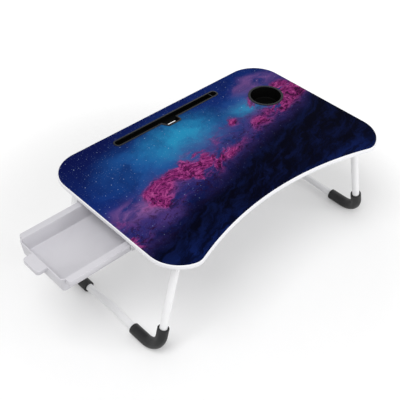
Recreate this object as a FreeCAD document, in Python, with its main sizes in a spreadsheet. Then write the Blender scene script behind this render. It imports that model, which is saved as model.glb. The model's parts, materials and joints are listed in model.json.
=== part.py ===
import FreeCAD, Part
import Sketcher
import math
import os

# A low folding laptop table with a pull-out drawer.
# The part stands on the plane z = 0, +X runs along the long side of the board and
# -Y is the side with the hollowed front edge.  The drawer slides out towards -X.
# Pieces on the board are drawn in the board's own frame, whose origin is the middle
# of the board's upper face, and their Placement puts that frame in its place.

SIZES = [
    # board
    ("board_length", 600.0),
    ("board_depth", 400.0),
    ("board_thickness", 10.0),
    ("table_height", 260.0),
    ("sheet_thickness", 0.6),
    ("band_thickness", 2.0),
    ("band_round", 1.5),
    ("back_corner_radius", 70.5),
    ("side_corner_radius", 74.0),
    ("nose_radius", 32.0),
    ("nose_inset", 60.0),
    ("belly_depth", 43.6),
    # cup holder
    ("cup_side_inset", 86.5),
    ("cup_back_inset", 119.5),
    ("cup_flange_radius", 39.5),
    ("cup_flange_thickness", 1.4),
    ("cup_top_radius", 36.0),
    ("cup_bottom_radius", 33.5),
    ("cup_depth", 28.0),
    ("cup_wall", 1.8),
    ("cup_floor_round", 5.0),
    ("cup_flange_bevel", 0.5),
    # tablet slot insert
    ("slot_x", -3.0),
    ("slot_back_inset", 34.4),
    ("slot_length", 290.0),
    ("slot_width", 22.0),
    ("slot_lip_thickness", 1.0),
    ("slot_lip_overhang", 2.2),
    ("slot_wall", 1.4),
    ("slot_floor", 1.2),
    ("pen_well_length", 13.5),
    ("pen_well_rib", 2.0),
    ("notch_x", -7.0),
    ("notch_width", 46.0),
    ("notch_reach", 16.3),
    ("notch_slant", 9.0),
    ("notch_corner_radius", 6.0),
    ("cable_slit_length", 24.0),
    ("cable_slit_width", 3.2),
    ("cable_slit_reach", 8.2),
    ("cable_slit_shift", 5.5),
    # share of the half width that rounds a blunt end
    ("round_share", 0.9),
    # fits
    ("seat_clearance", 0.1),
    ("pin_clearance", 0.05),
    ("cut_overrun", 2.0),
    # folding legs
    ("hinge_inset", 52.0),
    ("hinge_drop", 24.0),
    ("leg_splay", 14.0),
    ("front_post_inset", 53.0),
    ("back_post_inset", 42.0),
    ("tube_radius", 8.0),
    ("tube_wall", 1.5),
    ("tube_overshoot", 6.5),
    ("bend_radius", 41.0),
    ("arch_rise", 4.0),
    ("arch_span", 130.0),
    ("arch_crown", 44.0),
    ("arch_foot_radius", 150.0),
    ("arch_crown_radius", 400.0),
    ("sleeve_wall", 4.0),
    ("sleeve_post_reach", 61.0),
    ("sleeve_bar_reach", 78.0),
    ("sleeve_end_bevel", 1.2),
    ("plug_flange", 1.0),
    ("plug_depth", 3.2),
    ("plug_bevel", 0.6),
    # hinge brackets and their pins
    ("bracket_steel", 1.6),
    ("cheek_gap", 0.4),
    ("stop_gap", 0.3),
    ("stop_drop", 22.0),
    ("stop_height", 9.0),
    ("stop_ear_width", 9.0),
    ("foot_reach", 26.0),
    ("foot_screw_reach", 19.0),
    ("foot_corner_radius", 4.0),
    ("pin_radius", 2.5),
    ("pin_head_radius", 4.4),
    ("pin_head_thickness", 1.5),
    ("pin_head_bevel", 0.9),
    # screws
    ("screw_radius", 1.7),
    ("screw_length", 7.6),
    ("screw_head_radius", 3.3),
    ("screw_head_height", 1.9),
    ("screw_head_bevel", 1.0),
    ("screw_recess_radius", 1.1),
    ("screw_recess_depth", 1.0),
    # drawer
    ("drawer_length", 219.0),
    ("drawer_post_gap", 83.5),
    ("drawer_shift", 6.5),
    ("drawer_depth", 35.0),
    ("drawer_wall", 2.4),
    ("drawer_draft", 5.0),
    ("drawer_corner_radius", 9.0),
    ("drawer_floor_round", 5.0),
    ("drawer_reach", 138.0),
    ("rim_drop", 20.0),
    ("flange_width", 12.0),
    ("flange_thickness", 2.4),
    ("flange_rim", 10.0),
    ("flange_setback", 8.0),
    ("flange_corner_radius", 6.0),
    ("tab_width", 48.0),
    ("tab_reach", 21.0),
    ("tab_lip", 9.0),
    ("tab_corner_radius", 7.0),
    ("catch_width", 4.6),
    ("catch_length", 6.0),
    ("catch_overlap", 1.2),
    ("drawer_open_travel", 20.0),
    ("drawer_close_travel", 157.0),
    # drawer rails
    ("rail_setback", 5.0),
    ("rail_wall", 2.4),
    ("rail_gap", 0.4),
    ("rail_side_gap", 1.2),
    ("rail_box_width", 17.0),
    ("rail_lip_width", 12.0),
    ("rail_ear_reach", 12.0),
    ("rail_ear_length", 18.0),
    ("rail_ear_inset", 26.0),
    ("rail_stop", 2.4),
]

HINGES = [("left_front", -1, -1), ("left_back", -1, 1), ("right_front", 1, -1), ("right_back", 1, 1)]

# two places count as one when they differ by less than this share of the edge looked at
match_share = 0.0001


class Size:
    """A length, share or angle that carries its number and the expression that gives it."""

    def __init__(self, number, text):
        self.number = float(number)
        self.text = text

    def __add__(self, other):
        other = as_size(other)
        return Size(self.number + other.number, "(%s + %s)" % (self.text, other.text))

    def __sub__(self, other):
        other = as_size(other)
        return Size(self.number - other.number, "(%s - %s)" % (self.text, other.text))

    def __mul__(self, other):
        other = as_size(other)
        return Size(self.number * other.number, "(%s * %s)" % (self.text, other.text))

    def __truediv__(self, other):
        other = as_size(other)
        return Size(self.number / other.number, "(%s / %s)" % (self.text, other.text))

    def __neg__(self):
        return Size(-self.number, "(0 - %s)" % self.text)


ZERO = Size(0, "0")


def as_size(value):
    """Wraps a plain number so that it can stand beside a Size."""
    if isinstance(value, Size):
        return value
    return Size(value, repr(value))


def root(size):
    return Size(math.sqrt(size.number), "sqrt(%s)" % size.text)


def sine(angle):
    return Size(math.sin(math.radians(angle.number)), "sin(%s * 1 deg)" % angle.text)


def cosine(angle):
    return Size(math.cos(math.radians(angle.number)), "cos(%s * 1 deg)" % angle.text)


def tangent(angle):
    return Size(math.tan(math.radians(angle.number)), "tan(%s * 1 deg)" % angle.text)


class Values:
    """The driving sizes, read back from the sheet under their aliases."""

    def __init__(self, sheet):
        for alias, _ in SIZES:
            setattr(self, alias, Size(sheet.get(alias), "%s.%s" % (sheet.Name, alias)))


def make_sheet(doc):
    """Writes the driving sizes into a spreadsheet, one named cell each."""
    sheet = doc.addObject("Spreadsheet::Sheet", "Sizes")
    for row, (alias, number) in enumerate(SIZES, start=1):
        sheet.set("A%d" % row, alias)
        sheet.set("B%d" % row, str(number))
        sheet.setAlias("B%d" % row, alias)
    doc.recompute()
    return Values(sheet)


# Places that several pieces share, worked out from the driving sizes.

def nose_x(v):
    """How far from the middle of the board the centre of each nose lies."""
    return v.board_length / 2 - v.nose_inset


def belly_radius(v):
    """Radius of the hollowed front edge that runs smoothly into both noses."""
    reach = nose_x(v)
    depth = v.belly_depth
    return (reach * reach + depth * depth) / (depth * 2) - v.nose_radius


def cup_x(v):
    return v.board_length / 2 - v.cup_side_inset


def cup_y(v):
    return v.board_depth / 2 - v.cup_back_inset


def slot_y(v):
    return v.board_depth / 2 - v.slot_back_inset


def hinge_x(v):
    return v.board_length / 2 - v.hinge_inset


def post_half(v):
    """Half the distance between the two posts of a leg."""
    return (v.board_depth - v.front_post_inset - v.back_post_inset) / 2


def post_middle(v):
    """Middle between the posts, a little behind the middle of the board."""
    return (v.front_post_inset - v.back_post_inset) / 2


def drawer_middle(v):
    """Middle of the drawer and its rails across the board."""
    return post_middle(v) + v.drawer_shift


def drawer_half(v):
    """Half the width of the drawer at its rim, which leaves room for the folded legs."""
    return post_half(v) - v.drawer_post_gap


def sleeve_radius(v):
    return v.tube_radius + v.sleeve_wall


def leg_run(v):
    """Distance down the leg from the hinge axis to the axis of the crossbar."""
    return (v.table_height - v.hinge_drop - sleeve_radius(v)) / cosine(v.leg_splay)


def board_x(v):
    """Where the middle of the board lies, with the origin under the middle of the whole part."""
    left_reach = v.board_length / 2 + v.drawer_reach + v.tab_reach
    right_reach = hinge_x(v) + leg_run(v) * sine(v.leg_splay) + sleeve_radius(v)
    return (left_reach - right_reach) / 2


def web_outer(v):
    """Half the width across both drawer rails."""
    return flange_edge(v) + v.rail_side_gap + v.rail_wall


def flange_edge(v):
    """Half the width of the drawer across its side flanges."""
    return drawer_half(v) + v.flange_width


def cheek_face(v):
    """Half the width inside a hinge bracket."""
    return v.tube_radius + v.cheek_gap


def ear_radius(v):
    """Outer radius of a bracket's ears, which is also how far out its stop reaches."""
    return v.tube_radius + v.stop_gap + v.bracket_steel


def bracket_screw_places(v):
    """The screws of the four brackets, in the board's frame."""
    places = []
    for _, side, end in HINGES:
        for reach in (-1, 1):
            x = hinge_x(v) * side + v.foot_screw_reach * reach
            places.append((x, post_middle(v) + post_half(v) * end))
    return places


def drawer_end(v):
    """Outer face of the drawer's end wall at the rim, pulled out as at rest."""
    return -(v.board_length / 2 + v.drawer_reach)


def rail_start(v):
    return v.rail_setback - v.board_length / 2


def rail_length(v):
    """From the board's edge to just past the closed drawer, with the closing stop."""
    closed_end = drawer_end(v) + v.drawer_length + v.drawer_close_travel
    return closed_end + v.rail_gap + v.rail_stop - rail_start(v)


def rail_ear_offsets(v):
    """Middle of each ear along the rail, from the rail's start."""
    length = rail_length(v)
    return [v.rail_ear_inset, length / 2, length - v.rail_ear_inset]


def rail_screw_y(v):
    """How far from the middle of the drawer the screws of its rails lie."""
    return web_outer(v) + v.rail_ear_reach / 2


def rail_screw_places(v):
    """The screws of both rails, in the board's frame."""
    places = []
    for side in (-1, 1):
        for offset in rail_ear_offsets(v):
            places.append((rail_start(v) + offset, drawer_middle(v) + rail_screw_y(v) * side))
    return places


# Drawing helpers.

def add_body(doc, label):
    body = doc.addObject("PartDesign::Body", label)
    body.Label = label
    return body


def place(body, x, y, z):
    """Binds the position of a sub-part to the sheet."""
    body.setExpression("Placement.Base.x", x.text)
    body.setExpression("Placement.Base.y", y.text)
    body.setExpression("Placement.Base.z", z.text)


def turn(body, axis, angle):
    """Sets the axis that a sub-part is turned about, and binds the angle to the sheet."""
    body.Placement.Rotation = FreeCAD.Rotation(axis, angle.number)
    body.setExpression("Placement.Rotation.Angle", angle.text)


def place_on_board(body, v, x=ZERO, y=ZERO):
    place(body, board_x(v) + x, y, v.table_height)


def place_at_hinge(body, v, side, y=ZERO):
    """Puts a sub-part on a hinge axis, y away from the middle between the posts."""
    place(body, board_x(v) + hinge_x(v) * side, post_middle(v) + y, v.table_height - v.hinge_drop)


def add_sketch(body, name, plane, offset=ZERO):
    """Attaches a sketch to one of the body's own origin planes, moved along its normal."""
    sketch = body.newObject("Sketcher::SketchObject", name)
    origin_plane = [f for f in body.Origin.OriginFeatures if f.Role == plane][0]
    sketch.AttachmentSupport = [(origin_plane, "")]
    sketch.MapMode = "FlatFace"
    sketch.AttachmentOffset = FreeCAD.Placement(FreeCAD.Vector(0, 0, offset.number), FreeCAD.Rotation())
    sketch.setExpression("AttachmentOffset.Base.z", offset.text)
    return sketch


def vector(x, y):
    return FreeCAD.Vector(x, y, 0)


def bind(sketch, kind, *where_and_size):
    """Adds a dimension whose value follows the sheet."""
    where = where_and_size[:-1]
    size = where_and_size[-1]
    index = sketch.addConstraint(Sketcher.Constraint(kind, *where, size.number))
    sketch.setExpression("Constraints[%d]" % index, size.text)


def anchor(sketch, shape, point, x, y):
    """Ties a point of the sketch to its distance from the two axes."""
    for kind, axis, size in (("DistanceX", -2, x), ("DistanceY", -1, y)):
        if size.text == "0":
            sketch.addConstraint(Sketcher.Constraint("PointOnObject", shape, point, axis))
        else:
            bind(sketch, kind, -1, 1, shape, point, size)


def add_circle(sketch, x, y, radius):
    circle = Part.Circle(vector(x.number, y.number), FreeCAD.Vector(0, 0, 1), radius.number)
    index = sketch.addGeometry(circle, False)
    anchor(sketch, index, 3, x, y)
    bind(sketch, "Radius", index, radius)


def arc_between(centre, radius, start, end, anticlockwise):
    """An arc from start to end about centre, with the numbers of its first and last point."""
    first = math.atan2(start.y - centre.y, start.x - centre.x)
    last = math.atan2(end.y - centre.y, end.x - centre.x)
    circle = Part.Circle(centre, FreeCAD.Vector(0, 0, 1), radius)
    if anticlockwise:
        return Part.ArcOfCircle(circle, first, last), 1, 2
    return Part.ArcOfCircle(circle, last, first), 2, 1


def rounded_corner(before, point, after, radius):
    """Entry point, exit point and arc that round one corner of an outline."""
    back = (before - point).normalize()
    ahead = (after - point).normalize()
    half = back.getAngle(ahead) / 2
    reach = radius / math.tan(half)
    centre = point + (back + ahead).normalize() * (radius / math.sin(half))
    entry = point + back * reach
    leave = point + ahead * reach
    turns_left = back.cross(ahead).z < 0
    return entry, leave, arc_between(centre, radius, entry, leave, turns_left)


def add_outline(sketch, corners, closed=True):
    """Draws lines through corners (x, y, radius), rounded where a radius is given."""
    count = len(corners)
    points = [vector(x.number, y.number) for x, y, _ in corners]
    entries = list(points)
    exits = list(points)
    arcs = [None] * count
    for index, (_, _, radius) in enumerate(corners):
        if radius is not None:
            following = points[(index + 1) % count]
            rounding = rounded_corner(points[index - 1], points[index], following, radius.number)
            entries[index], exits[index], arcs[index] = rounding
    lines = {}
    for index in range(0 if closed else 1, count):
        segment = Part.LineSegment(exits[index - 1], entries[index])
        lines[index] = sketch.addGeometry(segment, False)
    if not closed:
        anchor(sketch, lines[1], 1, corners[0][0], corners[0][1])
        anchor(sketch, lines[count - 1], 2, corners[-1][0], corners[-1][1])
    for index in range(0 if closed else 1, count if closed else count - 1):
        x, y, radius = corners[index]
        line_in = lines[index]
        line_out = lines[(index + 1) % count]
        if radius is None:
            sketch.addConstraint(Sketcher.Constraint("Coincident", line_in, 2, line_out, 1))
            anchor(sketch, line_in, 2, x, y)
            continue
        arc, first, last = arcs[index]
        arc_index = sketch.addGeometry(arc, False)
        sketch.addConstraint(Sketcher.Constraint("Tangent", line_in, 2, arc_index, first))
        sketch.addConstraint(Sketcher.Constraint("Tangent", arc_index, last, line_out, 1))
        bind(sketch, "Radius", arc_index, radius)
        corner = sketch.addGeometry(Part.Point(points[index]), True)
        sketch.addConstraint(Sketcher.Constraint("PointOnObject", corner, 1, line_in))
        sketch.addConstraint(Sketcher.Constraint("PointOnObject", corner, 1, line_out))
        anchor(sketch, corner, 1, x, y)


def rectangle(x0, y0, x1, y1, radius=None):
    """The four corners of a rectangle, all with the same rounding."""
    return [(x0, y0, radius), (x1, y0, radius), (x1, y1, radius), (x0, y1, radius)]


def add_feature(body, kind, name, sketch):
    feature = body.newObject("PartDesign::" + kind, name)
    feature.Profile = sketch
    sketch.Visibility = False
    return feature


def pad(body, sketch, length, reverse=False, both_ways=False):
    """Pushes a sketch out to a solid."""
    feature = add_feature(body, "Pad", sketch.Name + "_pad", sketch)
    feature.setExpression("Length", length.text)
    feature.Reversed = reverse
    feature.Midplane = both_ways
    return feature


def pocket(body, sketch, length, reverse=False, both_ways=False):
    """Cuts a sketch out of the solid."""
    feature = add_feature(body, "Pocket", sketch.Name + "_pocket", sketch)
    feature.setExpression("Length", length.text)
    feature.Reversed = reverse
    feature.Midplane = both_ways
    return feature


def revolve(body, sketch, axis):
    """Turns a profile about one of the sketch's own axes."""
    feature = add_feature(body, "Revolution", sketch.Name + "_turned", sketch)
    feature.ReferenceAxis = (sketch, [axis])
    feature.Angle = 360
    return feature


def finish_edges(doc, body, name, kind, size, wanted):
    """Adds a Fillet or a Chamfer on the edges of the body so far that the test picks out."""
    doc.recompute()
    base = body.Tip
    edges = ["Edge%d" % number for number, edge in enumerate(base.Shape.Edges, start=1) if wanted(edge)]
    if not edges:
        raise RuntimeError("no edge found for %s" % name)
    feature = body.newObject("PartDesign::" + kind, name)
    feature.Base = (base, edges)
    feature.setExpression("Radius" if kind == "Fillet" else "Size", size.text)
    return feature


def level(edge, height):
    """True for an edge that lies flat at one height."""
    box = edge.BoundBox
    near = box.DiagonalLength * match_share
    return abs(box.ZMin - height.number) < near and abs(box.ZMax - height.number) < near


# The board.

def add_board_outline(sketch, v, inset):
    """The board's outline, moved in: straight back and sides, rounded lobes and a hollowed front."""
    half_length = v.board_length / 2
    half_depth = v.board_depth / 2
    back_x = half_length - v.back_corner_radius
    back_y = half_depth - v.back_corner_radius
    belly_y = v.belly_depth - half_depth - belly_radius(v)
    nose_y = v.nose_radius - half_depth
    side_x = half_length.number - v.side_corner_radius.number
    side_to_nose = v.side_corner_radius.number - v.nose_radius.number
    side_y = nose_y.number + math.sqrt(side_to_nose ** 2 - (nose_x(v).number - side_x) ** 2)

    back = v.back_corner_radius - inset
    side = v.side_corner_radius - inset
    nose = v.nose_radius - inset
    belly = belly_radius(v) + inset
    belly_centre = vector(0, belly_y.number)
    right_back = vector(back_x.number, back_y.number)
    right_side = vector(side_x, side_y)
    right_nose = vector(nose_x(v).number, nose_y.number)
    edge_x = half_length.number - inset.number
    edge_y = half_depth.number - inset.number
    right_belly_end = belly_centre + (right_nose - belly_centre).normalize() * belly.number
    right_nose_end = right_side + (right_nose - right_side).normalize() * side.number

    def mirrored(point):
        return vector(-point.x, point.y)

    def left_arc(centre, radius, start, end):
        """The mirror image, on the left, of an arc of the right half."""
        return arc_between(mirrored(centre), radius.number, mirrored(start), mirrored(end), False)

    back_end = vector(back_x.number, edge_y)
    side_top = vector(edge_x, back_y.number)
    side_bottom = vector(edge_x, side_y)
    pieces = [
        (Part.LineSegment(mirrored(back_end), back_end), 1, 2),
        arc_between(right_back, back.number, back_end, side_top, False),
        (Part.LineSegment(side_top, side_bottom), 1, 2),
        arc_between(right_side, side.number, side_bottom, right_nose_end, False),
        arc_between(right_nose, nose.number, right_nose_end, right_belly_end, False),
        arc_between(belly_centre, belly.number, right_belly_end, mirrored(right_belly_end), True),
        left_arc(right_nose, nose, right_belly_end, right_nose_end),
        left_arc(right_side, side, right_nose_end, side_bottom),
        (Part.LineSegment(mirrored(side_bottom), mirrored(side_top)), 1, 2),
        left_arc(right_back, back, side_top, back_end),
    ]
    indices = [sketch.addGeometry(shape, False) for shape, _, _ in pieces]
    for number, index in enumerate(indices):
        end = pieces[number][2]
        following = (number + 1) % len(pieces)
        start = pieces[following][1]
        sketch.addConstraint(Sketcher.Constraint("Tangent", index, end, indices[following], start))
    for number, radius in ((1, back), (9, back), (3, side), (7, side), (4, nose), (6, nose), (5, belly)):
        bind(sketch, "Radius", indices[number], radius)
    anchor(sketch, indices[1], 3, back_x, back_y)
    anchor(sketch, indices[9], 3, -back_x, back_y)
    anchor(sketch, indices[5], 3, ZERO, belly_y)
    for number in (4, 6):
        bind(sketch, "DistanceY", -1, 1, indices[number], 3, nose_y)
    for number in (2, 8):
        sketch.addConstraint(Sketcher.Constraint("Vertical", indices[number]))


def slot_corners(v, inset):
    """The slot insert's outline, moved in: a long rounded slot with a notch in its front side."""
    half_length = v.slot_length / 2 - inset
    half_width = v.slot_width / 2 - inset
    left = v.slot_x - half_length
    right = v.slot_x + half_length
    front = slot_y(v) - half_width
    back = slot_y(v) + half_width
    notch_left = v.notch_x - v.notch_width / 2 + inset
    notch_right = v.notch_x + v.notch_width / 2 - inset
    notch_front = slot_y(v) - v.slot_width / 2 - v.notch_reach + inset
    corner = v.notch_corner_radius - inset
    return [
        (left, front, half_width * v.round_share),
        (notch_left, front, None),
        (notch_left + v.notch_slant, notch_front, corner),
        (notch_right, notch_front, corner),
        (notch_right, front, None),
        (right, front, half_width * v.round_share),
        (right, back, half_width * v.round_share),
        (left, back, half_width * v.round_share),
    ]


def add_board_layer(doc, v, label, top, thickness):
    """One layer of the board, with the openings for the cup holder and the slot insert."""
    body = add_body(doc, label)
    sketch = add_sketch(body, label + "_outline", "XY_Plane", -top)
    add_board_outline(sketch, v, v.band_thickness)
    add_circle(sketch, cup_x(v), cup_y(v), v.cup_top_radius + v.seat_clearance)
    add_outline(sketch, slot_corners(v, v.slot_lip_overhang - v.seat_clearance))
    pad(body, sketch, thickness, reverse=True)
    return body


def make_board_core(doc, v):
    """The fibreboard between the two sheets, with blind pilot holes for the screws."""
    thickness = v.board_thickness - v.sheet_thickness * 2
    body = add_board_layer(doc, v, "board_core", v.sheet_thickness, thickness)
    holes = add_sketch(body, "pilot_holes", "XY_Plane", v.sheet_thickness - v.board_thickness)
    for x, y in bracket_screw_places(v) + rail_screw_places(v):
        add_circle(holes, x, y, v.screw_radius + v.seat_clearance)
    pocket(body, holes, v.screw_length, reverse=True)
    place_on_board(body, v)
    return body


def make_top_sheet(doc, v):
    """The printed laminate on the upper face."""
    body = add_board_layer(doc, v, "printed_top_sheet", ZERO, v.sheet_thickness)
    place_on_board(body, v)
    return body


def make_underside_sheet(doc, v):
    """The plain balancing laminate below, which the screws pass through."""
    top = v.board_thickness - v.sheet_thickness
    body = add_board_layer(doc, v, "underside_sheet", top, v.sheet_thickness)
    holes = add_sketch(body, "sheet_screw_holes", "XY_Plane", -v.board_thickness)
    for x, y in bracket_screw_places(v) + rail_screw_places(v):
        add_circle(holes, x, y, v.screw_radius + v.seat_clearance)
    pocket(body, holes, v.sheet_thickness, reverse=True)
    place_on_board(body, v)
    return body


def make_edge_band(doc, v):
    """The white plastic band round the edge, with rounded outer corners."""
    body = add_body(doc, "edge_band")
    sketch = add_sketch(body, "band_section", "XY_Plane")
    add_board_outline(sketch, v, ZERO)
    add_board_outline(sketch, v, v.band_thickness)
    pad(body, sketch, v.board_thickness, reverse=True)
    doc.recompute()
    inner_wire = min(body.Shape.Faces, key=lambda face: abs(face.CenterOfMass.z)).Wires[1]

    def outer(edge):
        on_face = level(edge, ZERO) or level(edge, -v.board_thickness)
        middle = edge.valueAt((edge.FirstParameter + edge.LastParameter) / 2)
        flat = Part.Vertex(middle.x, middle.y, inner_wire.BoundBox.ZMin)
        return on_face and flat.distToShape(inner_wire)[0] > v.band_thickness.number / 2

    finish_edges(doc, body, "band_rounding", "Fillet", v.band_round, outer)
    place_on_board(body, v)
    return body


def make_cup_holder(doc, v):
    """A tapered cup with a thin flange that rests on the printed sheet."""
    body = add_body(doc, "cup_holder")
    sketch = add_sketch(body, "cup_profile", "XZ_Plane")
    inner_top = v.cup_top_radius - v.cup_wall
    inner_bottom = v.cup_bottom_radius - v.cup_wall
    flange_top = v.cup_flange_thickness
    bevel = v.cup_flange_bevel
    add_outline(sketch, [
        (ZERO, -v.cup_depth, None),
        (v.cup_bottom_radius, -v.cup_depth, v.cup_floor_round),
        (v.cup_top_radius, ZERO, None),
        (v.cup_flange_radius, ZERO, None),
        (v.cup_flange_radius, flange_top - bevel, None),
        (v.cup_flange_radius - bevel, flange_top, None),
        (inner_top + bevel, flange_top, None),
        (inner_top, flange_top - bevel, None),
        (inner_bottom, v.cup_wall - v.cup_depth, v.cup_floor_round - v.cup_wall),
        (ZERO, v.cup_wall - v.cup_depth, None),
    ])
    revolve(body, sketch, "V_Axis")
    place_on_board(body, v, cup_x(v), cup_y(v))
    return body


def add_pen_well_rib(body, v):
    """The cross rib that parts a short well for a pen from the groove's right end."""
    groove_end = v.slot_x + v.slot_length / 2 - v.slot_lip_overhang - v.slot_wall
    right = groove_end - v.pen_well_length
    half_width = v.slot_width / 2 - v.slot_lip_overhang - v.slot_wall / 2
    rib = add_sketch(body, "pen_well_rib", "XY_Plane", -v.board_thickness)
    add_outline(rib, rectangle(
        right - v.pen_well_rib, slot_y(v) - half_width, right, slot_y(v) + half_width))
    pad(body, rib, v.board_thickness)


def make_slot_insert(doc, v):
    """The tray that holds a tablet on edge, with a pen well, a notch and a slit for a cable."""
    body = add_body(doc, "tablet_slot_insert")
    lip = add_sketch(body, "slot_lip", "XY_Plane")
    add_outline(lip, slot_corners(v, ZERO))
    pad(body, lip, v.slot_lip_thickness)
    shell = add_sketch(body, "slot_shell", "XY_Plane")
    add_outline(shell, slot_corners(v, v.slot_lip_overhang))
    pad(body, shell, v.board_thickness, reverse=True)
    groove = add_sketch(body, "slot_groove", "XY_Plane", v.slot_lip_thickness)
    add_outline(groove, slot_corners(v, v.slot_lip_overhang + v.slot_wall))
    pocket(body, groove, v.board_thickness + v.slot_lip_thickness - v.slot_floor)
    add_pen_well_rib(body, v)
    slit = add_sketch(body, "cable_slit", "XY_Plane", -v.board_thickness)
    slit_x = v.notch_x + v.cable_slit_shift
    slit_back = slot_y(v) - v.cable_slit_reach
    half_slit = v.cable_slit_length / 2
    add_outline(slit, rectangle(
        slit_x - half_slit, slit_back - v.cable_slit_width, slit_x + half_slit, slit_back,
        v.cable_slit_width / 2 * v.round_share))
    pocket(body, slit, v.slot_floor + v.cut_overrun, reverse=True)
    place_on_board(body, v)
    return body


# The hinges.

def make_hinge_bracket(doc, v, name, side, end):
    """A pressed steel bracket: a foot with two screw holes, two ears and a stop for the leg."""
    body = add_body(doc, name + "_hinge_bracket")
    top = v.hinge_drop - v.board_thickness
    web_underside = top - v.bracket_steel
    radius = ear_radius(v)
    cheek = cheek_face(v)
    full_width = (cheek + v.bracket_steel) * 2

    ears = add_sketch(body, name + "_ears", "XZ_Plane")
    slope = tangent(v.leg_splay)
    outer_face = radius / cosine(v.leg_splay)
    stop_end = outer_face + v.stop_drop * slope
    add_outline(ears, [
        (-radius, top, None),
        (-radius, -radius, radius * v.round_share),
        (stop_end - v.stop_ear_width, -v.stop_drop, None),
        (stop_end, -v.stop_drop, v.stop_ear_width / 2 * v.round_share),
        (outer_face - top * slope, top, None),
    ])
    pad(body, ears, full_width, both_ways=True)

    # the leg leans on a bridge between the ears, and swings its upper end out above that bridge
    inside = add_sketch(body, name + "_channel", "XZ_Plane")
    inner_face = (v.tube_radius + v.stop_gap) / cosine(v.leg_splay)
    below = v.stop_drop + v.cut_overrun
    beyond = outer_face + v.cut_overrun
    bridge_top = v.stop_height - v.stop_drop
    add_outline(inside, [
        (-below, web_underside, None),
        (-below, -below, None),
        (inner_face + below * slope, -below, None),
        (inner_face - bridge_top * slope, bridge_top, None),
        (beyond - bridge_top * slope, bridge_top, None),
        (beyond - web_underside * slope, web_underside, None),
    ])
    pocket(body, inside, cheek * 2, both_ways=True)

    foot = add_sketch(body, name + "_foot", "XY_Plane", top)
    half_width = full_width / 2
    add_outline(foot, rectangle(-v.foot_reach, -half_width, v.foot_reach, half_width, v.foot_corner_radius))
    pad(body, foot, v.bracket_steel, reverse=True)

    screw_holes = add_sketch(body, name + "_foot_holes", "XY_Plane", top)
    for reach in (-1, 1):
        add_circle(screw_holes, v.foot_screw_reach * reach, ZERO, v.screw_radius + v.seat_clearance)
    pocket(body, screw_holes, v.bracket_steel + v.cut_overrun)

    pin_hole = add_sketch(body, name + "_pin_hole", "XZ_Plane")
    add_circle(pin_hole, ZERO, ZERO, v.pin_radius + v.pin_clearance)
    pocket(body, pin_hole, full_width + v.cut_overrun, both_ways=True)
    place_at_hinge(body, v, side, post_half(v) * end)
    if side < 0:
        body.Placement.Rotation = FreeCAD.Rotation(FreeCAD.Vector(0, 0, 1), 180)
    return body


def make_hinge_pin(doc, v, name, side, end):
    """A rivet across the bracket, with bevelled heads, which the leg turns on."""
    body = add_body(doc, name + "_hinge_pin")
    sketch = add_sketch(body, name + "_pin_profile", "XY_Plane")
    seat = cheek_face(v) + v.bracket_steel
    tip = seat + v.pin_head_thickness
    shoulder = tip - v.pin_head_bevel
    crown = v.pin_head_radius - v.pin_head_bevel
    add_outline(sketch, [
        (ZERO, -tip, None),
        (crown, -tip, None),
        (v.pin_head_radius, -shoulder, None),
        (v.pin_head_radius, -seat, None),
        (v.pin_radius, -seat, None),
        (v.pin_radius, seat, None),
        (v.pin_head_radius, seat, None),
        (v.pin_head_radius, shoulder, None),
        (crown, tip, None),
        (ZERO, tip, None),
    ])
    revolve(body, sketch, "V_Axis")
    place_at_hinge(body, v, side, post_half(v) * end)
    return body


# Screws.

def add_screw(body, v, name, x, y, head_height):
    """One pan-head screw, pointing up, with a round recess for the driver."""
    sketch = add_sketch(body, name + "_profile", "XZ_Plane", -y)
    head_bottom = head_height - v.screw_head_height
    recess_top = head_bottom + v.screw_recess_depth
    point = v.sheet_thickness - v.board_thickness + v.screw_length - v.seat_clearance
    add_outline(sketch, [
        (x, recess_top, None),
        (x + v.screw_recess_radius, recess_top, None),
        (x + v.screw_recess_radius, head_bottom, None),
        (x + v.screw_head_radius - v.screw_head_bevel, head_bottom, None),
        (x + v.screw_head_radius, head_bottom + v.screw_head_bevel, None),
        (x + v.screw_head_radius, head_height, None),
        (x + v.screw_radius, head_height, None),
        (x + v.screw_radius, point - v.screw_radius, None),
        (x, point, None),
    ])
    axis = sketch.addGeometry(Part.LineSegment(
        vector(x.number, recess_top.number), vector(x.number, point.number)), True)
    anchor(sketch, axis, 1, x, recess_top)
    anchor(sketch, axis, 2, x, point)
    turned = add_feature(body, "Revolution", name + "_turned", sketch)
    turned.ReferenceAxis = (sketch, ["Axis0"])
    turned.Angle = 360
    return turned


def repeat(doc, body, name, original, steps):
    """Copies a feature by a chain of steps: mirrors and one even row."""
    chain = body.newObject("PartDesign::MultiTransform", name)
    chain.Originals = [original]
    parts = []
    for number, (kind, reference, count, span) in enumerate(steps):
        part = body.newObject("PartDesign::" + kind, "%s_%d" % (name, number))
        plane_or_axis = [f for f in body.Origin.OriginFeatures if f.Role == reference][0]
        if kind == "Mirrored":
            part.MirrorPlane = (plane_or_axis, [""])
        else:
            part.Direction = (plane_or_axis, [""])
            part.setExpression("Length", span.text)
            part.Occurrences = count
        parts.append(part)
    chain.Transformations = parts
    body.Tip = chain
    return chain


def make_bracket_screws(doc, v):
    """The eight screws that hold the hinge brackets."""
    body = add_body(doc, "hinge_bracket_screws")
    head_height = -(v.board_thickness + v.bracket_steel)
    first = add_screw(body, v, "bracket_screw", hinge_x(v) - v.foot_screw_reach, post_half(v), head_height)
    doc.recompute()
    repeat(doc, body, "bracket_screw_set", first, [
        ("LinearPattern", "X_Axis", 2, v.foot_screw_reach * 2),
        ("Mirrored", "YZ_Plane", None, None),
        ("Mirrored", "XZ_Plane", None, None),
    ])
    place_on_board(body, v, ZERO, post_middle(v))
    return body


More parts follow.
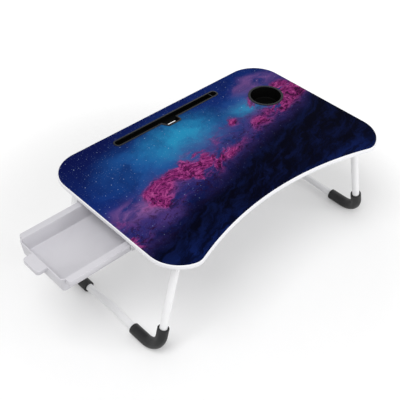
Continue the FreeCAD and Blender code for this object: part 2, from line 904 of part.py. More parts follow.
def make_rail_screws(doc, v):
    """The six screws that hold the drawer rails."""
    body = add_body(doc, "drawer_rail_screws")
    head_height = -(v.board_thickness + v.rail_wall)
    first = add_screw(body, v, "rail_screw", rail_start(v) + v.rail_ear_inset, rail_screw_y(v), head_height)
    doc.recompute()
    repeat(doc, body, "rail_screw_set", first, [
        ("LinearPattern", "X_Axis", len(rail_ear_offsets(v)), rail_length(v) - v.rail_ear_inset * 2),
        ("Mirrored", "XZ_Plane", None, None),
    ])
    place_on_board(body, v, ZERO, drawer_middle(v))
    return body


# The legs.

def bar_corners(v):
    """Corners of the crossbar between its bends: level at the feet and raised in the middle."""
    low = -leg_run(v)
    high = low + v.arch_rise
    return [
        (-v.arch_span / 2, low, v.arch_foot_radius),
        (-v.arch_crown / 2, high, v.arch_crown_radius),
        (v.arch_crown / 2, high, v.arch_crown_radius),
        (v.arch_span / 2, low, v.arch_foot_radius),
    ]


def sweep(body, v, name, corners, start_y, start_z, outer, inner):
    """Sweeps a ring along a route in the leg's plane: first the outside, then the bore."""
    for kind, radius in (("Additive", outer), ("Subtractive", inner)):
        route = add_sketch(body, "%s_%s_route" % (name, kind.lower()), "YZ_Plane")
        add_outline(route, corners, closed=False)
        route.Visibility = False
        ring = add_sketch(body, "%s_%s_ring" % (name, kind.lower()), "XY_Plane", start_z)
        add_circle(ring, ZERO, start_y, radius)
        pipe = body.newObject("PartDesign::%sPipe" % kind, "%s_%s_pipe" % (name, kind.lower()))
        pipe.Profile = ring
        pipe.Spine = (route, [])
        ring.Visibility = False


def hang_on_hinge(body, v, side):
    """Puts a piece drawn in the leg's frame on its hinge axis, splayed outwards."""
    turn(body, FreeCAD.Vector(0, 1, 0), v.leg_splay * -side)
    place_at_hinge(body, v, side)


def make_leg_tube(doc, v, name, side):
    """One bent steel tube: two posts, two bends and an arched crossbar."""
    body = add_body(doc, name + "_leg_tube")
    low = -leg_run(v)
    post = post_half(v)
    corners = [(-post, v.tube_overshoot, None), (-post, low, v.bend_radius)]
    corners += bar_corners(v)
    corners += [(post, low, v.bend_radius), (post, v.tube_overshoot, None)]
    bore = v.tube_radius - v.tube_wall
    sweep(body, v, name + "_leg", corners, -post, v.tube_overshoot, v.tube_radius, bore)
    pin_holes = add_sketch(body, name + "_leg_pin_holes", "XZ_Plane")
    add_circle(pin_holes, ZERO, ZERO, v.pin_radius + v.pin_clearance)
    pocket(body, pin_holes, (post + v.tube_radius + v.cut_overrun) * 2, both_ways=True)
    hang_on_hinge(body, v, side)
    return body


def make_foot_sleeve(doc, v, name, side, end):
    """A rubber sleeve round one bottom bend of a leg, which the table stands on."""
    body = add_body(doc, name + "_foot_sleeve")
    low = -leg_run(v)
    top = low + v.sleeve_post_reach
    post = post_half(v) * end
    bar_end = (post_half(v) - v.sleeve_bar_reach) * end
    corners = [
        (post, top, None),
        (post, low, v.bend_radius),
        (bar_end, low, None),
    ]
    bore = v.tube_radius + v.seat_clearance
    sweep(body, v, name + "_sleeve", corners, post, top, sleeve_radius(v), bore)

    radius = sleeve_radius(v).number
    near = radius * match_share

    def rim(edge):
        """True for the outer circle at either end of the sleeve."""
        if not isinstance(edge.Curve, Part.Circle) or abs(edge.Curve.Radius - radius) > near:
            return False
        centre = edge.Curve.Center
        return min(abs(centre.z - top.number), abs(centre.y - bar_end.number)) < near

    finish_edges(doc, body, name + "_sleeve_rims", "Chamfer", v.sleeve_end_bevel, rim)
    hang_on_hinge(body, v, side)
    return body


def make_tube_plug(doc, v, name, side, end):
    """A plastic plug in the upper end of one post."""
    body = add_body(doc, name + "_tube_plug")
    sketch = add_sketch(body, name + "_plug_profile", "XZ_Plane", -(post_half(v) * end))
    spigot = v.tube_radius - v.tube_wall - v.seat_clearance
    top = v.tube_overshoot + v.plug_flange
    add_outline(sketch, [
        (ZERO, v.tube_overshoot - v.plug_depth, None),
        (spigot, v.tube_overshoot - v.plug_depth, None),
        (spigot, v.tube_overshoot, None),
        (v.tube_radius, v.tube_overshoot, None),
        (v.tube_radius, top - v.plug_bevel, None),
        (v.tube_radius - v.plug_bevel, top, None),
        (ZERO, top, None),
    ])
    revolve(body, sketch, "V_Axis")
    hang_on_hinge(body, v, side)
    return body


# The drawer and its rails.

def make_drawer_rail(doc, v, name, side):
    """A hollow plastic rail: a closed box above the drawer's flange and a lip below it."""
    body = add_body(doc, name + "_drawer_rail")
    start = rail_start(v)
    outer = web_outer(v)
    web_inner = outer - v.rail_wall
    box_inner = outer - v.rail_box_width
    top = -v.board_thickness
    box_bottom = v.rail_gap - v.rim_drop
    lip_top = -(v.rim_drop + v.flange_rim + v.rail_gap)
    lip_bottom = lip_top - v.rail_wall

    section = add_sketch(body, name + "_rail_section", "YZ_Plane", start)
    add_outline(section, [
        (outer * side, top, None),
        (outer * side, lip_bottom, None),
        ((outer - v.rail_lip_width) * side, lip_bottom, None),
        ((outer - v.rail_lip_width) * side, lip_top, None),
        (web_inner * side, lip_top, None),
        (web_inner * side, box_bottom, None),
        (box_inner * side, box_bottom, None),
        (box_inner * side, top, None),
    ])
    add_outline(section, rectangle(
        (box_inner + v.rail_wall) * side, top - v.rail_wall,
        web_inner * side, box_bottom + v.rail_wall))
    pad(body, section, rail_length(v))

    ears = add_sketch(body, name + "_rail_ears", "XY_Plane", top)
    holes = add_sketch(body, name + "_rail_ear_holes", "XY_Plane", top)
    for offset in rail_ear_offsets(v):
        middle = start + offset
        half = v.rail_ear_length / 2
        tip = outer + v.rail_ear_reach
        add_outline(ears, [
            (middle - half, outer * side, None),
            (middle - half, tip * side, v.rail_ear_reach / 2 * v.round_share),
            (middle + half, tip * side, v.rail_ear_reach / 2 * v.round_share),
            (middle + half, outer * side, None),
        ])
        add_circle(holes, middle, rail_screw_y(v) * side, v.screw_radius + v.seat_clearance)
    pad(body, ears, v.rail_wall, reverse=True)
    pocket(body, holes, v.rail_wall + v.cut_overrun)

    stop = add_sketch(body, name + "_rail_stop", "YZ_Plane", start + rail_length(v))
    add_outline(stop, rectangle(web_inner * side, lip_top, box_inner * side, box_bottom))
    pad(body, stop, v.rail_stop, reverse=True)

    catch = add_sketch(body, name + "_rail_catch", "XY_Plane", lip_top)
    near, far = catch_sides(v)
    catch_end = drawer_catch_start(v) - v.drawer_open_travel - v.rail_gap
    add_outline(catch, rectangle(catch_end - v.catch_length, near * side, catch_end, far * side))
    pad(body, catch, catch_height(v))
    place_on_board(body, v, ZERO, drawer_middle(v))
    return body


def catch_height(v):
    """Height of each catch, so that the rail's and the drawer's overlap."""
    room = v.flange_rim + v.rail_gap - v.flange_thickness
    return (room + v.catch_overlap) / 2


def catch_sides(v):
    """The strip, across the rail, that the catches of rail and drawer share."""
    inner = web_outer(v) - v.rail_lip_width
    return inner, inner + v.catch_width


def drawer_catch_start(v):
    return drawer_end(v) + v.drawer_length - v.catch_length


def make_drawer_tray(doc, v):
    """A moulded tray with drafted walls, turned-down side flanges, catches and a pull tab."""
    body = add_body(doc, "drawer_tray")
    near = drawer_end(v)
    far = near + v.drawer_length
    half = drawer_half(v)
    rim = -v.rim_drop
    wall = v.drawer_wall
    edge = flange_edge(v)

    outside = add_sketch(body, "tray_outside", "XY_Plane", rim)
    add_outline(outside, rectangle(near, -half, far, half, v.drawer_corner_radius))
    tray = pad(body, outside, v.drawer_depth, reverse=True)
    tray.setExpression("TaperAngle", (-v.drawer_draft).text)
    floor = rim - v.drawer_depth
    finish_edges(doc, body, "tray_foot_rounding", "Fillet", v.drawer_floor_round, lambda e: level(e, floor))

    flanges = add_sketch(body, "tray_flanges", "XY_Plane", rim)
    for side in (-1, 1):
        add_outline(flanges, [
            (near + v.flange_setback, edge * side, v.flange_corner_radius),
            (near + v.flange_setback, (half - wall) * side, None),
            (far, (half - wall) * side, None),
            (far, edge * side, None),
        ])
    pad(body, flanges, v.flange_thickness, reverse=True)

    rims = add_sketch(body, "tray_flange_rims", "XY_Plane", rim)
    for side in (-1, 1):
        add_outline(rims, [
            (near + v.flange_setback, edge * side, v.flange_corner_radius),
            (near + v.flange_setback, half * side, None),
            (near + v.flange_setback + wall, half * side, None),
            (near + v.flange_setback + wall, (edge - wall) * side, v.flange_corner_radius - wall),
            (far, (edge - wall) * side, None),
            (far, edge * side, None),
        ])
    pad(body, rims, v.flange_rim, reverse=True)

    catches = add_sketch(body, "tray_catches", "XY_Plane", rim - v.flange_thickness)
    inner, outer = catch_sides(v)
    for side in (-1, 1):
        add_outline(catches, rectangle(drawer_catch_start(v), inner * side, far, outer * side))
    pad(body, catches, catch_height(v), reverse=True)

    tab = add_sketch(body, "tray_tab", "XY_Plane", rim)
    tab_half = v.tab_width / 2
    tip = near - v.tab_reach
    add_outline(tab, [
        (near + wall, -tab_half, None),
        (near + wall, tab_half, None),
        (tip, tab_half, v.tab_corner_radius),
        (tip, -tab_half, v.tab_corner_radius),
    ])
    pad(body, tab, v.tab_lip, reverse=True)
    under_tab = add_sketch(body, "tray_tab_hollow", "XY_Plane", rim - v.tab_lip)
    hollow_half = tab_half - wall
    add_outline(under_tab, [
        (near - wall, -hollow_half, None),
        (near - wall, hollow_half, None),
        (tip + wall, hollow_half, v.tab_corner_radius - wall),
        (tip + wall, -hollow_half, v.tab_corner_radius - wall),
    ])
    pocket(body, under_tab, v.tab_lip - wall, reverse=True)

    inside = add_sketch(body, "tray_inside", "XY_Plane", rim)
    inner_half = half - wall
    inner_corner = v.drawer_corner_radius - wall
    add_outline(inside, rectangle(near + wall, -inner_half, far - wall, inner_half, inner_corner))
    hollow = pocket(body, inside, v.drawer_depth - wall)
    hollow.setExpression("TaperAngle", (-v.drawer_draft).text)
    inner_floor = floor + wall
    inner_round = v.drawer_floor_round - wall
    finish_edges(doc, body, "tray_floor_rounding", "Fillet", inner_round, lambda e: level(e, inner_floor))
    place_on_board(body, v, ZERO, drawer_middle(v))
    return body


def build(doc):
    """Makes every sub-part and returns the bodies."""
    v = make_sheet(doc)
    bodies = [
        make_board_core(doc, v),
        make_top_sheet(doc, v),
        make_underside_sheet(doc, v),
        make_edge_band(doc, v),
        make_cup_holder(doc, v),
        make_slot_insert(doc, v),
        make_bracket_screws(doc, v),
        make_rail_screws(doc, v),
        make_drawer_tray(doc, v),
        make_drawer_rail(doc, v, "front", -1),
        make_drawer_rail(doc, v, "back", 1),
    ]
    for name, side in (("left", -1), ("right", 1)):
        bodies.append(make_leg_tube(doc, v, name, side))
    for name, side, end in HINGES:
        bodies.append(make_hinge_bracket(doc, v, name, side, end))
        bodies.append(make_hinge_pin(doc, v, name, side, end))
        bodies.append(make_foot_sleeve(doc, v, name, side, end))
        bodies.append(make_tube_plug(doc, v, name, side, end))
    return bodies


def check(doc, bodies):
    """Stops if any object failed or any sub-part is empty or broken."""
    for item in doc.Objects:
        if "Invalid" in item.State or "Error" in item.State:
            raise RuntimeError("%s failed: %s" % (item.Name, item.State))
    for body in bodies:
        if body.Shape.isNull() or not body.Shape.isValid():
            raise RuntimeError("%s has no valid shape" % body.Label)


def main():
    doc = FreeCAD.newDocument("laptop_stand")
    bodies = build(doc)
    doc.recompute()
    check(doc, bodies)
    os.makedirs("parts", exist_ok=True)
    for body in bodies:
        body.Shape.exportStep("parts/%s.step" % body.Label)
        box = body.Shape.BoundBox
        print("%-28s solids %d  volume %9.0f  x %7.1f %7.1f  y %7.1f %7.1f  z %6.1f %6.1f" % (
            body.Label, len(body.Shape.Solids), body.Shape.Volume,
            box.XMin, box.XMax, box.YMin, box.YMax, box.ZMin, box.ZMax))


main()
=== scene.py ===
"""Looks of a folding laptop table with a drawer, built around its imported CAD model.

Lengths are in metres, in the frame of the CAD model: +X along the board, -Y towards the
hollowed front edge, +Z up.  Each class below makes one sub-assembly and dresses it.
"""
import json
import logging
import math
from dataclasses import dataclass
from enum import Enum

import bmesh
import bpy
from mathutils import Matrix, Vector


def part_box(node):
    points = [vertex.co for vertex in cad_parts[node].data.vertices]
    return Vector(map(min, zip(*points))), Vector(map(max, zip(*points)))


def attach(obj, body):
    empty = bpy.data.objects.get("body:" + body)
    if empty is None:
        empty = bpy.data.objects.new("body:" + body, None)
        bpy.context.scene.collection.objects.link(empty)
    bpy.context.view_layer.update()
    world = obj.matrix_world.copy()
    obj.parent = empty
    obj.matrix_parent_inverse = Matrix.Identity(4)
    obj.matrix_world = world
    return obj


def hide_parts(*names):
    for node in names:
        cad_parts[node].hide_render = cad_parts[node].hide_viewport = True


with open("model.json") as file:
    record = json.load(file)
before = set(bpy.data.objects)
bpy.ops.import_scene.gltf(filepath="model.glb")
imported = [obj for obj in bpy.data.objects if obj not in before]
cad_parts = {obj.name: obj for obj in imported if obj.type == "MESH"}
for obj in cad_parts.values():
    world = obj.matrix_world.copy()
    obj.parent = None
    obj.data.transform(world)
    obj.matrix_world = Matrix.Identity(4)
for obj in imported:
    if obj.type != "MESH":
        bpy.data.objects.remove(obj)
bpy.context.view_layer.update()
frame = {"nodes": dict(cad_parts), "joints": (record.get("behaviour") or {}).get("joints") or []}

Material = bpy.types.Material
Piece = bpy.types.Object
Socket = bpy.types.NodeSocket
Value = Socket | float | tuple

log = logging.getLogger("laptop_table")

WHITE = (1.0, 1.0, 1.0)
UP = Vector((0.0, 0.0, 1.0))
ALONG_Y = Vector((0.0, 1.0, 0.0))


class Place(Enum):
    """A place on one side of the middle; its value is its sign along the axis."""

    @property
    def word(self) -> str:
        """The place's word in the names of nodes and pieces."""
        return self.name.lower()


class Side(Place):
    """The two legs along X, seen from the hollowed front edge."""

    LEFT = -1
    RIGHT = 1


class End(Place):
    """The two posts of a leg along Y."""

    FRONT = -1
    BACK = 1


# Node trees and materials.

class Nodes:
    """A node tree, with short calls that add nodes and join them."""

    prefix = "ShaderNode"

    def __init__(self, tree: bpy.types.NodeTree) -> None:
        """Takes the tree that the nodes go into."""
        self.tree = tree

    def add(self, kind: str, inputs: dict | None = None, **settings: object) -> bpy.types.Node:
        """Adds a node.

        Args:
            kind: the node's type, without the prefix.
            inputs: what goes into its inputs, by their names or places.
            settings: attributes to set on the node.

        Returns:
            The new node.
        """
        node = self.tree.nodes.new(self.prefix + kind)
        for key, value in settings.items():
            setattr(node, key, value)
        for key, value in (inputs or {}).items():
            self.join(value, node.inputs[key])
        return node

    def join(self, value: Value, socket: Socket) -> None:
        """Links a socket to an input, or sets a plain value on it.

        Args:
            value: the socket or the value; a colour is three numbers.
            socket: the input.
        """
        if isinstance(value, Socket):
            self.tree.links.new(value, socket)
        else:
            socket.default_value = (*value, 1.0) if socket.type == "RGBA" else value

    def math(self, operation: str, first: Value, second: Value = 0.0, clamp: bool = False) -> Socket:
        """Adds a Math node and returns its result."""
        return self.add("Math", {0: first, 1: second}, operation=operation, use_clamp=clamp).outputs[0]

    def seen(self) -> Socket:
        """One on rays that show the background to the camera, to gloss or to glass, else zero.

        Returns:
            The socket.
        """
        ray = self.add("LightPath").outputs
        direct = self.math("MAXIMUM", ray["Is Camera Ray"], ray["Is Glossy Ray"])
        return self.math("MAXIMUM", direct, ray["Is Transmission Ray"])


@dataclass(frozen=True)
class Noise:
    """The lumps of a noise: how many a unit holds, and how fine, rough and twisted they are."""

    scale: float
    detail: float = 2.0
    roughness: float = 0.5
    distortion: float = 0.0


class Shader(Nodes):
    """A material in the making."""

    mix_inputs = (6, 7)
    mix_output = 2

    def __init__(self, name: str) -> None:
        """Starts a material that has a Principled surface.

        Args:
            name: the material's name.
        """
        self.material = bpy.data.materials.new(name)
        self.material.use_nodes = True
        super().__init__(self.material.node_tree)
        self.surface = self.tree.nodes["Principled BSDF"]

    def place(self, origin: Vector = Vector(), scale: tuple = (1.0, 1.0, 1.0)) -> Socket:
        """The surface point in the piece's own frame.

        Args:
            origin: the point that becomes zero.
            scale: how many pattern units a metre holds along each axis.

        Returns:
            The coordinate socket.
        """
        inputs = {"Vector": self.add("TexCoord").outputs["Object"], "Scale": scale}
        inputs["Location"] = [-place * size for place, size in zip(origin, scale)]
        return self.add("Mapping", inputs).outputs[0]

    def vector(self, operation: str, *values: Value) -> Socket:
        """Adds a Vector Math node with values in its inputs, in order, and returns its result."""
        node = self.add("VectorMath", dict(enumerate(values)), operation=operation)
        return node.outputs["Value" if operation == "LENGTH" else "Vector"]

    def product(self, first: Value, *others: Value) -> Socket:
        """Multiplies numbers.

        Args:
            first: the first of them.
            others: the rest.

        Returns:
            The product.
        """
        for other in others:
            first = self.math("MULTIPLY", first, other)
        return first

    def noise(self, where: Socket, shape: Noise, output: str = "Fac") -> Socket:
        """Adds a noise texture.

        Args:
            where: the places at which it is read.
            shape: its lumps.
            output: the output that is wanted.

        Returns:
            That output.
        """
        inputs = {"Vector": where, "Scale": shape.scale, "Detail": shape.detail,
                  "Roughness": shape.roughness, "Distortion": shape.distortion}
        return self.add("TexNoise", inputs).outputs[output]

    def step(self, value: Value, low: float, high: float, first: float = 0.0, last: float = 1.0) -> Socket:
        """Maps a value smoothly from one range to another and returns the result."""
        inputs = {"Value": value, "From Min": low, "From Max": high, "To Min": first, "To Max": last}
        return self.add("MapRange", inputs, interpolation_type="SMOOTHSTEP").outputs["Result"]

    def ramp(self, value: Socket, stops: tuple) -> Socket:
        """Colours a value.

        Args:
            value: the socket to colour.
            stops: pairs of position and colour, from low to high.

        Returns:
            The colour socket.
        """
        node = self.add("ValToRGB", {0: value})
        elements = node.color_ramp.elements
        while len(elements) < len(stops):
            elements.new(1.0)
        for element, (position, colour) in zip(elements, stops):
            element.position = position
            element.color = (*colour, 1.0)
        return node.outputs["Color"]

    def mix(self, share: Value, first: Value, second: Value) -> Socket:
        """Mixes two colours by a share.

        Args:
            share: how much of the second colour shows.
            first: the first colour.
            second: the second colour.

        Returns:
            The mixed colour.
        """
        inputs = {"Factor": share, **dict(zip(self.mix_inputs, (first, second)))}
        node = self.add("Mix", inputs, data_type="RGBA", clamp_factor=True)
        return node.outputs[self.mix_output]

    def bump(self, height: Socket, depth: float, strength: float = 1.0) -> None:
        """Feeds a height to the surface's normal; depth is how far a height of one rises, in metres."""
        node = self.add("Bump", {"Strength": strength, "Distance": depth, "Height": height})
        self.set(Normal=node.outputs[0])

    def set(self, **values: Value) -> None:
        """Sets or joins the surface's inputs; an underscore in a key stands for a space."""
        for key, value in values.items():
            self.join(value, self.surface.inputs[key.replace("_", " ")])


@dataclass(frozen=True)
class MouldedPlastic:
    """Injection-moulded plastic with a fine spark-eroded grain and faint flow marks."""

    name: str
    colour: tuple
    shade: tuple
    roughness: float = 0.45
    specular: float = 0.5
    grain: Noise = Noise(2200.0)
    grain_depth: float = 0.00004
    grain_strength: float = 0.6
    flow: Noise = Noise(14.0, 4.0, 0.55, 0.6)
    flow_range: tuple = (0.3, 0.72)
    wear: Noise = Noise(70.0, 5.0, 0.6)
    wear_range: tuple = (0.25, 0.75)
    wear_reach: float = 0.06

    def material(self) -> Material:
        """Builds the material.

        Returns:
            The material.
        """
        shader = Shader(self.name)
        where = shader.place()
        flow = shader.step(shader.noise(where, self.flow), *self.flow_range)
        dull, bright = self.roughness - self.wear_reach, self.roughness + self.wear_reach
        wear = shader.step(shader.noise(where, self.wear), *self.wear_range, dull, bright)
        shader.set(Base_Color=shader.mix(flow, self.shade, self.colour), Roughness=wear,
                   Specular_IOR_Level=self.specular)
        shader.bump(shader.noise(where, self.grain), self.grain_depth, self.grain_strength)
        return shader.material


@dataclass(frozen=True)
class PowderCoat:
    """White powder coat on steel: a soft orange-peel and a faint greyness where hands rub it."""

    name: str
    roughness: float = 0.27
    colour: tuple = (0.9, 0.9, 0.91)
    rubbed: tuple = (0.83, 0.83, 0.85)
    rub: Noise = Noise(9.0, 5.0, 0.6, 0.4)
    rub_range: tuple = (0.52, 0.8)
    dull_range: tuple = (0.3, 0.8)
    dulling: float = 0.12
    coat: float = 0.25
    coat_roughness: float = 0.12
    peel: Noise = Noise(420.0, 2.0, 0.4)
    peel_depth: float = 0.00005
    peel_strength: float = 0.5

    def material(self) -> Material:
        """Builds the material.

        Returns:
            The material.
        """
        shader = Shader(self.name)
        where = shader.place()
        rub = shader.noise(where, self.rub)
        dull = shader.step(rub, *self.dull_range, self.roughness, self.roughness + self.dulling)
        shader.set(Base_Color=shader.mix(shader.step(rub, *self.rub_range), self.colour, self.rubbed),
                   Roughness=dull, Coat_Weight=self.coat, Coat_Roughness=self.coat_roughness)
        shader.bump(shader.noise(where, self.peel), self.peel_depth, self.peel_strength)
        return shader.material


@dataclass(frozen=True)
class FootRubber:
    """Black moulded rubber, a little dusty near the floor."""

    name: str = "foot_rubber"
    colour: tuple = (0.01, 0.01, 0.011)
    bloomed: tuple = (0.02, 0.02, 0.021)
    bloom: Noise = Noise(26.0, 5.0, 0.62, 0.5)
    bloom_range: tuple = (0.35, 0.7)
    gloss_range: tuple = (0.3, 0.75, 0.4, 0.54)
    specular: float = 0.3
    dust: tuple = (0.06, 0.058, 0.054)
    dust_height: float = 0.012
    dust_share: float = 0.5
    specks: Noise = Noise(160.0, 4.0, 0.7)
    speck_range: tuple = (0.45, 0.62)
    grain: Noise = Noise(1500.0, 3.0, 0.6)
    grain_depth: float = 0.00006
    grain_strength: float = 0.7

    def material(self) -> Material:
        """Builds the material.

        Returns:
            The material.
        """
        shader = Shader(self.name)
        where = shader.place()
        bloom = shader.noise(where, self.bloom)
        colour = shader.mix(shader.step(bloom, *self.bloom_range), self.colour, self.bloomed)
        height = shader.add("SeparateXYZ", {0: where}).outputs["Z"]
        dust = shader.product(shader.step(height, 0.0, self.dust_height, self.dust_share, 0.0),
                              shader.step(shader.noise(where, self.specks), *self.speck_range))
        shader.set(Base_Color=shader.mix(dust, colour, self.dust), Specular_IOR_Level=self.specular,
                   Roughness=shader.step(bloom, *self.gloss_range))
        shader.bump(shader.noise(where, self.grain), self.grain_depth, self.grain_strength)
        return shader.material


@dataclass(frozen=True)
class ZincSteel:
    """Zinc-plated steel with fine turning marks."""

    name: str = "zinc_steel"
    colour: tuple = (0.62, 0.62, 0.63)
    shade: tuple = (0.5, 0.5, 0.53)
    cloud: Noise = Noise(320.0, 4.0, 0.6)
    gloss_range: tuple = (0.2, 0.8, 0.26, 0.42)
    marks: Noise = Noise(2600.0)
    mark_depth: float = 0.00003
    mark_strength: float = 0.5

    def material(self) -> Material:
        """Builds the material.

        Returns:
            The material.
        """
        shader = Shader(self.name)
        where = shader.place()
        cloud = shader.noise(where, self.cloud)
        shader.set(Base_Color=shader.mix(cloud, self.shade, self.colour), Metallic=1.0,
                   Roughness=shader.step(cloud, *self.gloss_range))
        shader.bump(shader.noise(where, self.marks), self.mark_depth, self.mark_strength)
        return shader.material


@dataclass(frozen=True)
class Fibreboard:
    """Raw fibreboard: pressed brown fibres."""

    name: str = "fibreboard"
    lay: tuple = (900.0, 900.0, 2600.0)
    fibres: Noise = Noise(1.0, 6.0, 0.7, 0.5)
    browns: tuple = ((0.2, (0.2, 0.12, 0.065)), (0.5, (0.36, 0.24, 0.14)), (0.85, (0.5, 0.37, 0.24)))
    roughness: float = 0.85
    depth: float = 0.0002

    def material(self) -> Material:
        """Builds the material.

        Returns:
            The material.
        """
        shader = Shader(self.name)
        fibres = shader.noise(shader.place(scale=self.lay), self.fibres)
        shader.set(Base_Color=shader.ramp(fibres, self.browns), Roughness=self.roughness)
        shader.bump(fibres, self.depth)
        return shader.material


@dataclass(frozen=True)
class BackingLaminate:
    """Plain off-white melamine with a pearl grain."""

    name: str = "backing_laminate"
    colour: tuple = (0.78, 0.78, 0.8)
    shade: tuple = (0.72, 0.72, 0.75)
    cloud: Noise = Noise(22.0, 6.0, 0.65)
    roughness: float = 0.5
    pearls: float = 700.0
    pearl_depth: float = 0.00006
    pearl_strength: float = 0.6

    def material(self) -> Material:
        """Builds the material.

        Returns:
            The material.
        """
        shader = Shader(self.name)
        where = shader.place()
        colour = shader.mix(shader.noise(where, self.cloud), self.shade, self.colour)
        shader.set(Base_Color=colour, Roughness=self.roughness)
        pearl = shader.add("TexVoronoi", {"Vector": where, "Scale": self.pearls}, feature="SMOOTH_F1")
        shader.bump(pearl.outputs["Distance"], self.pearl_depth, self.pearl_strength)
        return shader.material


class PrintShader(Shader):
    """A printed pattern in the making; its places are in decimetres from the middle of the board."""

    unit = (10.0, 10.0, 10.0)

    def __init__(self, name: str, centre: Vector, swirl: Noise, push: tuple) -> None:
        """Starts the material and lays out its places.

        Args:
            name: the material's name.
            centre: the middle of the board.
            swirl: the noise that disturbs the places, for curling edges.
            push: how far it pushes them along X and Y.
        """
        super().__init__(name)
        self.where = self.place(centre, self.unit)
        off = self.vector("SUBTRACT", self.noise(self.where, swirl, "Color"), (0.5, 0.5, 0.5))
        self.drifted = self.vector("MULTIPLY_ADD", off, (*push, 0.0), self.where)

    def streaks(self, turn: float, squeeze: tuple = (1.0, 1.0)) -> Socket:
        """Turns and squeezes the disturbed places, so that a noise read there runs out in streaks.

        Args:
            turn: the angle of the streaks, in degrees.
            squeeze: the scale along and across the streaks.

        Returns:
            The new place socket.
        """
        inputs = {"Vector": self.drifted, "Angle": math.radians(turn)}
        turned = self.add("VectorRotate", inputs, rotation_type="Z_AXIS").outputs[0]
        return self.vector("MULTIPLY", turned, (*squeeze, 1.0))

    def oval(self, middle: tuple, reach: tuple) -> Socket:
        """A soft oval that is one at its middle and fades out at its reach.

        Args:
            middle: the oval's middle.
            reach: its half width and half height.

        Returns:
            The socket with the oval's strength.
        """
        offset = self.vector("SUBTRACT", self.drifted, (*middle, 0.0))
        length = self.vector("LENGTH", self.vector("MULTIPLY", offset, (1 / reach[0], 1 / reach[1], 0.0)))
        return self.step(length, 0.0, 1.0, 1.0, 0.0)

    def band(self, height: Socket, middle: float, reach: float) -> Socket:
        """A soft band across the clouds' run, one at its middle and zero at its reach."""
        off = self.math("ABSOLUTE", self.math("SUBTRACT", height, middle))
        return self.step(off, 0.0, reach, 1.0, 0.0)

    def stars(self, cells: float, size: float, share: float) -> Socket:
        """One layer of stars, at most one in each cell.

        Args:
            cells: how many cells a decimetre holds.
            size: the radius of the largest star, as a share of a cell.
            share: the share of the cells that hold a star.

        Returns:
            The socket with the light of the stars.
        """
        faintest, least_size, falloff = 0.15, 0.45, 1.5
        cell = self.add("TexVoronoi", {"Vector": self.where, "Scale": cells}, voronoi_dimensions="2D")
        chance = self.add("SeparateColor", {0: cell.outputs["Color"]}).outputs
        lit = self.product(self.step(chance["Red"], 1.0 - share, 1.0, faintest, 1.0),
                           self.math("GREATER_THAN", chance["Red"], 1.0 - share))
        radius = self.product(self.math("ADD", chance["Green"], least_size), size)
        core = self.math("SUBTRACT", 1.0, self.math("DIVIDE", cell.outputs["Distance"], radius), True)
        return self.product(self.math("POWER", core, falloff), lit)


